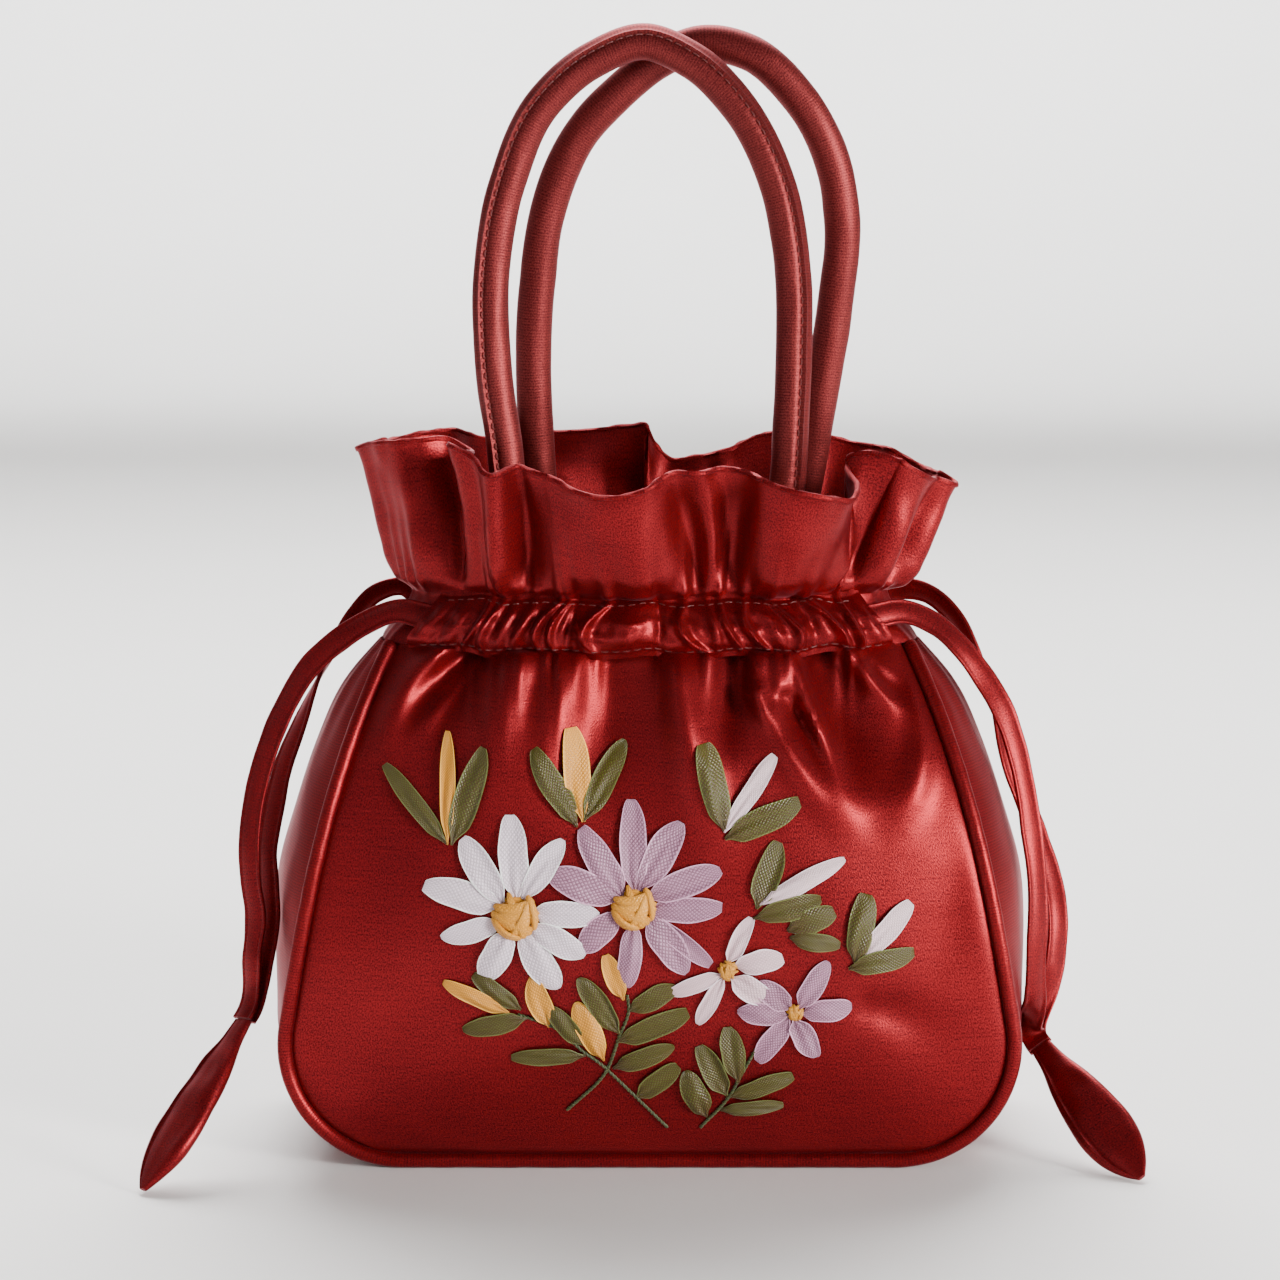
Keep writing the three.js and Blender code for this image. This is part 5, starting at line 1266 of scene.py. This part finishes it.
def add_knot(s, parts, middle, radius, height, paint, seed):
    """A knotted middle: a low dome, and folded strips of ribbon laid over it in arcs at many
    angles."""
    draw = np.random.default_rng(seed)
    centre = chart_point(s, middle)
    reach = radius * s.embroidery_width / 100
    angle = np.linspace(0, 2 * math.pi, 20, endpoint=False)
    rise = np.linspace(0, 1, 7)
    spread = np.cos(rise * math.pi / 2 * 0.96)[:, None]
    ring_xz = centre + reach * 0.86 * spread[..., None] * np.stack([np.cos(angle), np.sin(angle)], axis=1)
    dome = over_front(s, ring_xz, 0.2 * MM + 0.62 * height * np.sin(rise * math.pi / 2)[:, None])
    parts.tube(dome[:, ::-1], paint=paint, places=np.stack(np.meshgrid(
        np.linspace(0.2, 0.8, 21), rise), axis=2))
    t = np.linspace(-1, 1, 18)
    for turn, shift in zip(draw.uniform(0, math.pi, 10), np.linspace(-0.68, 0.68, 10)):
        along = np.array([math.cos(turn), math.sin(turn)])
        side = np.array([-along[1], along[0]])
        half_run = math.sqrt(1 - shift ** 2) * 0.98
        bow = draw.uniform(-0.25, 0.25)
        flat = centre + reach * (
            t[:, None] * half_run * along + (shift + bow * (1 - t[:, None] ** 2)) * side
        )
        lift = height * (0.10 + draw.uniform(0.72, 1.02) * np.sqrt(
            np.clip(1 - (t * half_run) ** 2 - shift ** 2 * 0.8, 0, 1)
        ))
        path = over_front(s, flat, lift)
        direction = directions(path)
        out = unit(path - over_front(s, centre + 0 * flat, -0.6 * height))
        face = square_to(out, direction)
        tape = flat_profile(reach * draw.uniform(0.34, 0.52), 0.42 * height, 14, 0.0, 0.9)
        narrow = (0.45 + 0.55 * np.sqrt(np.clip(1 - t ** 2, 0, 1)))[:, None]
        profile = np.stack([tape[:, 0] * narrow, tape[:, 1] + 0 * narrow], axis=2)
        rings = sweep(path, np.cross(direction, face), face, profile)
        places = cloth_places(rings, wrap=True) / (8 * MM)
        places[..., 0] = 0.5 + 0.36 * np.cos(np.linspace(0, 2 * math.pi, rings.shape[1] + 1))
        parts.tube(rings, paint=paint, places=places)


def add_stem(s, parts, points, paint):
    """A twisted stem: two round threads that wind round each other along a smooth line."""
    xz = smooth_line(chart_point(s, points), 90)
    run = np.linspace(0, line_length(xz), len(xz))
    for half_turn in (0, math.pi):
        phase = run * 2 * math.pi / (3.0 * MM) + half_turn
        direction = directions(xz)
        side = np.stack([-direction[:, 1], direction[:, 0]], axis=1)
        wound = xz + side * (0.26 * MM * np.cos(phase))[:, None]
        path = over_front(s, wound, 0.55 * MM + 0.24 * MM * np.sin(phase))
        along = directions(path)
        face = square_to(np.tile([0.0, -1.0, 0.0], (len(path), 1)), along)
        angle = np.linspace(0, 2 * math.pi, 8, endpoint=False)
        profile = 0.32 * MM * np.stack([np.cos(angle), np.sin(angle)], axis=1)
        parts.tube(sweep(path, np.cross(along, face), face, profile), paint=paint)


def make_flower(s, colours, name, flower):
    """A ribbon flower: petals from under the knot to their tips, and the knot."""
    parts = Pieces()
    middle = np.array(flower.middle)
    for number, (tip, wide) in enumerate(flower.petals):
        reach = np.linalg.norm(np.array(tip) - middle)
        root = middle + (np.array(tip) - middle) * (flower.knot * 0.62 / reach)
        layer = 0.12 * MM * (number % 3)
        add_ribbon(s, parts, root, tip, wide, 0, layer, 100 + 7 * number + len(name))
    height = s.knot_height * min(1, flower.knot / 4 + 0.2)
    add_knot(s, parts, middle, flower.knot, height, 1, 5 + len(name))
    colour = getattr(colours, flower.slot.split("_")[0])
    petal_ribbon = ribbon(flower.slot.replace("_", " "), colour, flower.net)
    piece = parts.build(name + "_ribbon", [petal_ribbon, ribbon("knot ribbon", colours.ochre, 0.3)])
    settle(piece, flower.slot, name)
    return piece


def make_spray(s, colours, name, spray):
    """A spray of ribbon leaves and buds, with its stems."""
    parts = Pieces()
    paints = {LEAF: 0, OCHRE: 1, BUD: 2}
    for points in spray.stems:
        add_stem(s, parts, points, 3)
    for number, (root, tip, wide, kind) in enumerate(spray.stitches):
        layer = 0.15 * MM * (number % 3)
        add_ribbon(s, parts, root, tip, wide, paints[kind], layer, 300 + 11 * number + len(name))
    piece = parts.build(name + "_ribbon", [
        ribbon("leaf ribbon", colours.leaf, 0.75), ribbon("ochre ribbon", colours.ochre, 0.5),
        ribbon("bud ribbon", colours.bud, 0.2), plain_thread("stem thread", colours.stem),
    ])
    settle(piece, "leaf_ribbon", name)
    return piece


def node(tree, kind, inputs=(), **settings):
    """A shader node with its settings. An input given as a socket is linked, and any other is set."""
    made = tree.nodes.new(kind)
    for key, value in settings.items():
        setattr(made, key, value)
    for key, value in dict(inputs).items():
        if isinstance(value, bpy.types.NodeSocket):
            tree.links.new(value, made.inputs[key])
        else:
            made.inputs[key].default_value = value
    return made


def new_material(name):
    """A material with an empty tree, or None and the material of that name if there is one."""
    found = bpy.data.materials.get(name)
    if found:
        return found, None
    material = bpy.data.materials.new(name)
    material.use_nodes = True
    material.node_tree.nodes.clear()
    return material, material.node_tree


def close_tree(tree, surface):
    """Links a shader to the material's output."""
    output = node(tree, "ShaderNodeOutputMaterial")
    tree.links.new(surface.outputs[0], output.inputs["Surface"])


def ramp(tree, factor, stops):
    """A colour ramp over a factor, with stops of place and colour."""
    made = node(tree, "ShaderNodeValToRGB", {"Fac": factor})
    elements = made.color_ramp.elements
    while len(elements) < len(stops):
        elements.new(0.5)
    for element, (place, colour) in zip(elements, stops):
        element.position = place
        element.color = colour
    return made.outputs["Color"]


def satin(name, dark, light, rib=0.0, gloss=0.34):
    """Shot satin. Fine threads speckle its colour between the dark and the light, broad random
    blotches painted into that colour stand in for patches of sheen, slubs and a crosswise rib raise
    it, and broad soft ripples bend its gloss, which its floats make longer across them than along
    them. A brown-purple sheen veils it at its edges."""
    material, tree = new_material(name)
    if tree is None:
        return material
    cloth = node(tree, "ShaderNodeTexCoord").outputs["UV"]
    floats = node(tree, "ShaderNodeMapping", {"Vector": cloth, "Scale": (2500, 1600, 1)}).outputs[0]
    speckle = node(tree, "ShaderNodeTexNoise", {
        "Vector": floats, "Scale": 1.0, "Detail": 1.0, "Roughness": 0.6,
    }).outputs["Fac"]
    cross = node(tree, "ShaderNodeTexWave", {
        "Vector": cloth, "Scale": 360.0, "Distortion": 3.0, "Detail": 2.0, "Detail Scale": 0.5,
    }, bands_direction="Y").outputs["Fac"]
    streaks = node(tree, "ShaderNodeMapping", {"Vector": cloth, "Scale": (60, 1100, 1)}).outputs[0]
    slub = node(tree, "ShaderNodeTexNoise", {
        "Vector": streaks, "Scale": 1.0, "Detail": 2.0, "Roughness": 0.55,
    }).outputs["Fac"]
    # Painted sheen: broad random blotches that lighten and darken the satin's colour, standing in for
    # patches of sheen
    broad = node(tree, "ShaderNodeTexNoise", {"Vector": cloth, "Scale": 18.0, "Detail": 2.0}).outputs["Fac"]
    threads = node(tree, "ShaderNodeMix", {0: 0.16, 2: speckle, 3: slub}, data_type="FLOAT").outputs[0]
    ribbed = node(tree, "ShaderNodeMix", {0: 0.5 * rib, 2: threads, 3: cross}, data_type="FLOAT").outputs[0]
    painted_sheen_tone = node(tree, "ShaderNodeMix", {0: 0.16, 2: ribbed, 3: broad}, data_type="FLOAT").outputs[0]
    colour = ramp(tree, painted_sheen_tone, [(0.34, dark), (0.66, light)])
    ripple = node(tree, "ShaderNodeTexNoise", {
        "Vector": cloth, "Scale": 40.0, "Detail": 2.0,
    }).outputs["Fac"]
    soft = node(tree, "ShaderNodeBump", {"Strength": 0.35, "Distance": 0.0012, "Height": ripple})
    fine = node(tree, "ShaderNodeBump", {
        "Strength": 0.5, "Distance": 0.00016, "Height": ribbed, "Normal": soft.outputs[0],
    })
    rough = node(tree, "ShaderNodeMapRange", {
        "Value": speckle, "To Min": gloss - 0.08, "To Max": gloss + 0.12,
    })
    tangent = node(tree, "ShaderNodeTangent", direction_type="UV_MAP", uv_map="cloth")
    surface = node(tree, "ShaderNodeBsdfPrincipled", {
        "Base Color": colour, "Roughness": rough.outputs[0], "Normal": fine.outputs[0],
        "Metallic": 0.68, "IOR": 1.5, "Anisotropic": 0.5, "Tangent": tangent.outputs[0],
        "Specular IOR Level": 0.4, "Specular Tint": (0.95, 0.52, 0.54, 1.0),
        "Sheen Weight": 0.10, "Sheen Roughness": 0.3,
        "Sheen Tint": (0.60, 0.25, 0.33, 1.0),
    })
    close_tree(tree, surface)
    return material


def ribbon(name, colour, mesh):
    """Sheer silk ribbon. A fine net of threads crosses it at a slant, its two edges are lighter,
    and soft lengthwise streaks run from its root: raised as bumps, and painted into its colour as
    the shade of small creases. Its colour is painted darker towards its root as shade there, broken
    by random clouds."""
    material, tree = new_material(name)
    if tree is None:
        return material
    cloth = node(tree, "ShaderNodeTexCoord").outputs["UV"]
    split = node(tree, "ShaderNodeSeparateXYZ", {"Vector": cloth})
    middle = node(tree, "ShaderNodeMath", {0: split.outputs["X"], 1: 0.5}, operation="SUBTRACT").outputs[0]
    aside = node(tree, "ShaderNodeMath", {0: middle}, operation="ABSOLUTE").outputs[0]
    edge = node(tree, "ShaderNodeMapRange", {
        "Value": aside, "From Min": 0.43, "From Max": 0.475,
    }).outputs[0]
    slants = []
    for turn in (math.radians(38), math.radians(-42)):
        turned = node(tree, "ShaderNodeMapping", {"Vector": cloth, "Rotation": (0, 0, turn)})
        slants.append(node(tree, "ShaderNodeTexWave", {
            "Vector": turned.outputs[0], "Scale": 2.9, "Distortion": 1.2, "Detail": 1.0,
        }).outputs["Fac"])
    net = node(tree, "ShaderNodeMath", {0: slants[0], 1: slants[1]}, operation="MINIMUM").outputs[0]
    # Lengthwise streaks: bumps of small creases, and painted crease shade in the colour
    streaks = node(tree, "ShaderNodeMapping", {"Vector": cloth, "Scale": (9, 0.7, 1)}).outputs[0]
    crease_shade_streak = node(tree, "ShaderNodeTexNoise", {
        "Vector": streaks, "Scale": 1.0, "Detail": 3.0,
    }).outputs["Fac"]
    tone = node(tree, "ShaderNodeMix", {0: 0.4, 2: net, 3: crease_shade_streak}, data_type="FLOAT").outputs[0]
    red, green, blue, _ = colour
    deep = (red * (1 - mesh) + 0.05 * mesh, green * (1 - mesh), blue * (1 - mesh) + 0.01 * mesh, 1)
    pale = tuple(min(1, 1.5 * c + 0.03) for c in (red, green, blue)) + (1,)
    # Painted shade: the ribbon's colour darkens towards its root, broken by random clouds
    place = node(tree, "ShaderNodeTexCoord").outputs["Object"]
    cloud = node(tree, "ShaderNodeTexNoise", {"Vector": place, "Scale": 70.0, "Detail": 1.0}).outputs["Fac"]
    root_shade_ramp = node(tree, "ShaderNodeMapRange", {"Value": split.outputs["Y"], "From Max": 1.1}).outputs[0]
    root_shade_and_cloud = node(tree, "ShaderNodeMath", {0: cloud, 1: root_shade_ramp}, operation="ADD").outputs[0]
    painted_root_shade = node(tree, "ShaderNodeMapRange", {
        "Value": root_shade_and_cloud, "From Min": 0.35, "From Max": 1.45, "To Min": 0.55, "To Max": 1.0,
    }).outputs[0]
    root_shaded_tone = node(tree, "ShaderNodeMath", {0: tone, 1: painted_root_shade}, operation="MULTIPLY").outputs[0]
    body = ramp(tree, root_shaded_tone, [(0.10, deep), (0.56, tuple(colour))])
    mixed = node(tree, "ShaderNodeMix", {0: edge, 6: body, 7: pale}, data_type="RGBA").outputs[2]
    bump = node(tree, "ShaderNodeBump", {"Strength": 0.6, "Distance": 0.0004, "Height": tone})
    surface = node(tree, "ShaderNodeBsdfPrincipled", {
        "Base Color": mixed, "Roughness": 0.33, "Normal": bump.outputs[0], "IOR": 1.4,
        "Sheen Weight": 0.08, "Sheen Roughness": 0.4,
    })
    close_tree(tree, surface)
    return material


def plain_thread(name, colour):
    """Twisted sewing thread: fine slanted plies in its colour and bump."""
    material, tree = new_material(name)
    if tree is None:
        return material
    cloth = node(tree, "ShaderNodeTexCoord").outputs["UV"]
    plies = node(tree, "ShaderNodeTexWave", {
        "Vector": cloth, "Scale": 500.0, "Distortion": 0.6,
    }, bands_direction="DIAGONAL").outputs["Fac"]
    low = tuple(0.45 * c for c in colour[:3]) + (1,)
    tone = ramp(tree, plies, [(0.1, low), (0.7, tuple(colour))])
    bump = node(tree, "ShaderNodeBump", {"Strength": 0.5, "Distance": 0.0001, "Height": plies})
    surface = node(tree, "ShaderNodeBsdfPrincipled", {
        "Base Color": tone, "Roughness": 0.5, "Normal": bump.outputs[0], "Sheen Weight": 0.05,
    })
    close_tree(tree, surface)
    return material


def soft_light(light):
    """A soft rectangular light that faces its goal."""
    lamp = bpy.data.lights.new(light.name, "AREA")
    lamp.shape = "RECTANGLE"
    lamp.size, lamp.size_y = light.size
    lamp.energy = light.power
    lamp.color = light.colour
    lamp.spread = math.radians(light.spread)
    made = bpy.data.objects.new(light.name, lamp)
    bpy.context.scene.collection.objects.link(made)
    way = np.array(light.goal) - np.array(light.place)
    flat = math.hypot(way[0], way[1])
    made.location = light.place
    made.rotation_euler = (math.atan2(flat, -way[2]), 0, math.atan2(-way[0], way[1]))


def make_floor():
    """The floor and backdrop as one surface of revolution: flat, then a quarter circle, then
    straight up."""
    turn = np.linspace(0, 2 * math.pi, 96, endpoint=False)[None, :]
    bend = np.linspace(0, math.pi / 2, 16)
    edge = FLOOR_FLAT + FLOOR_BEND
    reach = np.concatenate([[1e-4], FLOOR_FLAT + FLOOR_BEND * np.sin(bend), [edge]])[:, None]
    climb = np.concatenate([[0], FLOOR_BEND * (1 - np.cos(bend)), [BACKDROP_HEIGHT]])
    rise = climb[:, None] + 0 * turn
    bowl = np.stack([reach * np.cos(turn), reach * np.sin(turn), rise], axis=2)
    parts = Pieces()
    parts.grid(bowl, cloth_places(bowl, wrap=True), wrap=True, reverse=True)
    parts.build("floor", [floor_material()])


def floor_material():
    """Pale matt floor with a faint mottle."""
    material, tree = new_material("pale floor")
    place = node(tree, "ShaderNodeTexCoord").outputs["Object"]
    mottle = node(tree, "ShaderNodeTexNoise", {"Vector": place, "Scale": 3.0, "Detail": 4.0}).outputs["Fac"]
    tone = ramp(tree, mottle, [(0.0, (0.80, 0.79, 0.78, 1)), (1.0, (0.86, 0.855, 0.85, 1))])
    surface = node(tree, "ShaderNodeBsdfPrincipled", {"Base Color": tone, "Roughness": 0.7})
    close_tree(tree, surface)
    return material


def make_world():
    """Dim even surroundings, so that the satin shows its folds."""
    world = bpy.data.worlds.new("studio")
    bpy.context.scene.world = world
    world.use_nodes = True
    tree = world.node_tree
    tree.nodes.clear()
    light = node(tree, "ShaderNodeBackground", {"Color": (0.9, 0.92, 1.0, 1), "Strength": 0.05})
    output = node(tree, "ShaderNodeOutputWorld")
    tree.links.new(light.outputs[0], output.inputs["Surface"])


class RETICULE_OT_stage(bpy.types.Operator):
    """Make the camera, the pale floor, the surroundings and the lights"""

    bl_idname = "reticule.stage"
    bl_label = "Stage"

    def execute(self, context):
        eye = bpy.data.cameras.new("camera")
        eye.sensor_width = CAMERA_SENSOR
        eye.lens = CAMERA_LENS
        camera = bpy.data.objects.new("camera", eye)
        context.scene.collection.objects.link(camera)
        camera.location = CAMERA_PLACE
        camera.rotation_euler = (math.radians(CAMERA_TILT), 0, 0)
        context.scene.camera = camera
        make_floor()
        make_world()
        for light in LIGHTS:
            soft_light(light)
        return {"FINISHED"}


class RETICULE_OT_drawstrings(bpy.types.Operator):
    """Make the padded tabs and the flat drawstrings that hang from the casings to them"""

    bl_idname = "reticule.drawstrings"
    bl_label = "Drawstrings and tabs"

    def execute(self, context):
        s, colours = context.scene.reticule_sizes, context.scene.reticule_colours
        for name in TABS:
            make_tab(s, colours, name)
        for string in DRAWSTRINGS:
            make_drawstring(s, colours, string)
        return {"FINISHED"}


class RETICULE_OT_panels(bpy.types.Operator):
    """Make the front and back panels with their folds"""

    bl_idname = "reticule.panels"
    bl_label = "Panels"

    def execute(self, context):
        s, colours = context.scene.reticule_sizes, context.scene.reticule_colours
        make_panel(s, colours, "front_panel", -1, FRONT_FOLDS, FRONT_GATHERS)
        make_panel(s, colours, "back_panel", 1, BACK_FOLDS, BACK_GATHERS)
        return {"FINISHED"}


class RETICULE_OT_gusset(bpy.types.Operator):
    """Make the gusset and the piping in both seams"""

    bl_idname = "reticule.gusset"
    bl_label = "Gusset and piping"

    def execute(self, context):
        s, colours = context.scene.reticule_sizes, context.scene.reticule_colours
        make_gusset(s, colours)
        make_piping(s, colours, "front_piping", -1)
        make_piping(s, colours, "back_piping", 1)
        return {"FINISHED"}


class RETICULE_OT_ruffle(bpy.types.Operator):
    """Make the neck and its flared ruffle with a rolled hem"""

    bl_idname = "reticule.ruffle"
    bl_label = "Ruffle"

    def execute(self, context):
        make_ruffle(context.scene.reticule_sizes, context.scene.reticule_colours)
        return {"FINISHED"}


class RETICULE_OT_casings(bpy.types.Operator):
    """Make the gathered casings and their running stitches"""

    bl_idname = "reticule.casings"
    bl_label = "Casings"

    def execute(self, context):
        s, colours = context.scene.reticule_sizes, context.scene.reticule_colours
        make_casing(s, colours, "front_casing", 0, FRONT_GATHERS, 460)
        make_casing(s, colours, "back_casing", 180, BACK_GATHERS, 300)
        make_casing_stitches(s, colours)
        return {"FINISHED"}


class RETICULE_OT_handles(bpy.types.Operator):
    """Make the padded handles with their stitched seams"""

    bl_idname = "reticule.handles"
    bl_label = "Handles"

    def execute(self, context):
        s, colours = context.scene.reticule_sizes, context.scene.reticule_colours
        for handle in HANDLES:
            make_handle(s, colours, handle)
        return {"FINISHED"}


class RETICULE_OT_flowers(bpy.types.Operator):
    """Make the ribbon daisies and blossoms with their knots"""

    bl_idname = "reticule.flowers"
    bl_label = "Flowers"

    def execute(self, context):
        s, colours = context.scene.reticule_sizes, context.scene.reticule_colours
        for name, flower in FLOWERS.items():
            make_flower(s, colours, name, flower)
        return {"FINISHED"}


class RETICULE_OT_sprays(bpy.types.Operator):
    """Make the ribbon leaves, buds and twisted stems"""

    bl_idname = "reticule.sprays"
    bl_label = "Leaves and stems"

    def execute(self, context):
        s, colours = context.scene.reticule_sizes, context.scene.reticule_colours
        for name, spray in SPRAYS.items():
            make_spray(s, colours, name, spray)
        return {"FINISHED"}


OPERATORS = [
    RETICULE_OT_stage, RETICULE_OT_drawstrings, RETICULE_OT_panels, RETICULE_OT_gusset,
    RETICULE_OT_ruffle, RETICULE_OT_casings, RETICULE_OT_handles, RETICULE_OT_flowers,
    RETICULE_OT_sprays,
]


class VIEW3D_PT_reticule(bpy.types.Panel):
    """Buttons for each group of pieces"""

    bl_label = "Satin reticule"
    bl_idname = "VIEW3D_PT_reticule"
    bl_space_type = "VIEW_3D"
    bl_region_type = "UI"
    bl_category = "Reticule"

    def draw(self, context):
        column = self.layout.column(align=True)
        for operator in OPERATORS:
            column.operator(operator.bl_idname)


CLASSES = [ReticuleSizes, ReticuleColours, *OPERATORS, VIEW3D_PT_reticule]


def register():
    """Registers the classes and hangs the sizes and colours on the scene."""
    for made in CLASSES:
        bpy.utils.register_class(made)
    bpy.types.Scene.reticule_sizes = bpy.props.PointerProperty(type=ReticuleSizes)
    bpy.types.Scene.reticule_colours = bpy.props.PointerProperty(type=ReticuleColours)


def unregister():
    """Undoes what register does, in the opposite order."""
    del bpy.types.Scene.reticule_colours
    del bpy.types.Scene.reticule_sizes
    for made in reversed(CLASSES):
        bpy.utils.unregister_class(made)


def main():
    register()
    for operator in OPERATORS:
        group, name = operator.bl_idname.split(".")
        getattr(getattr(bpy.ops, group), name)()


if __name__ == "__main__":
    main()
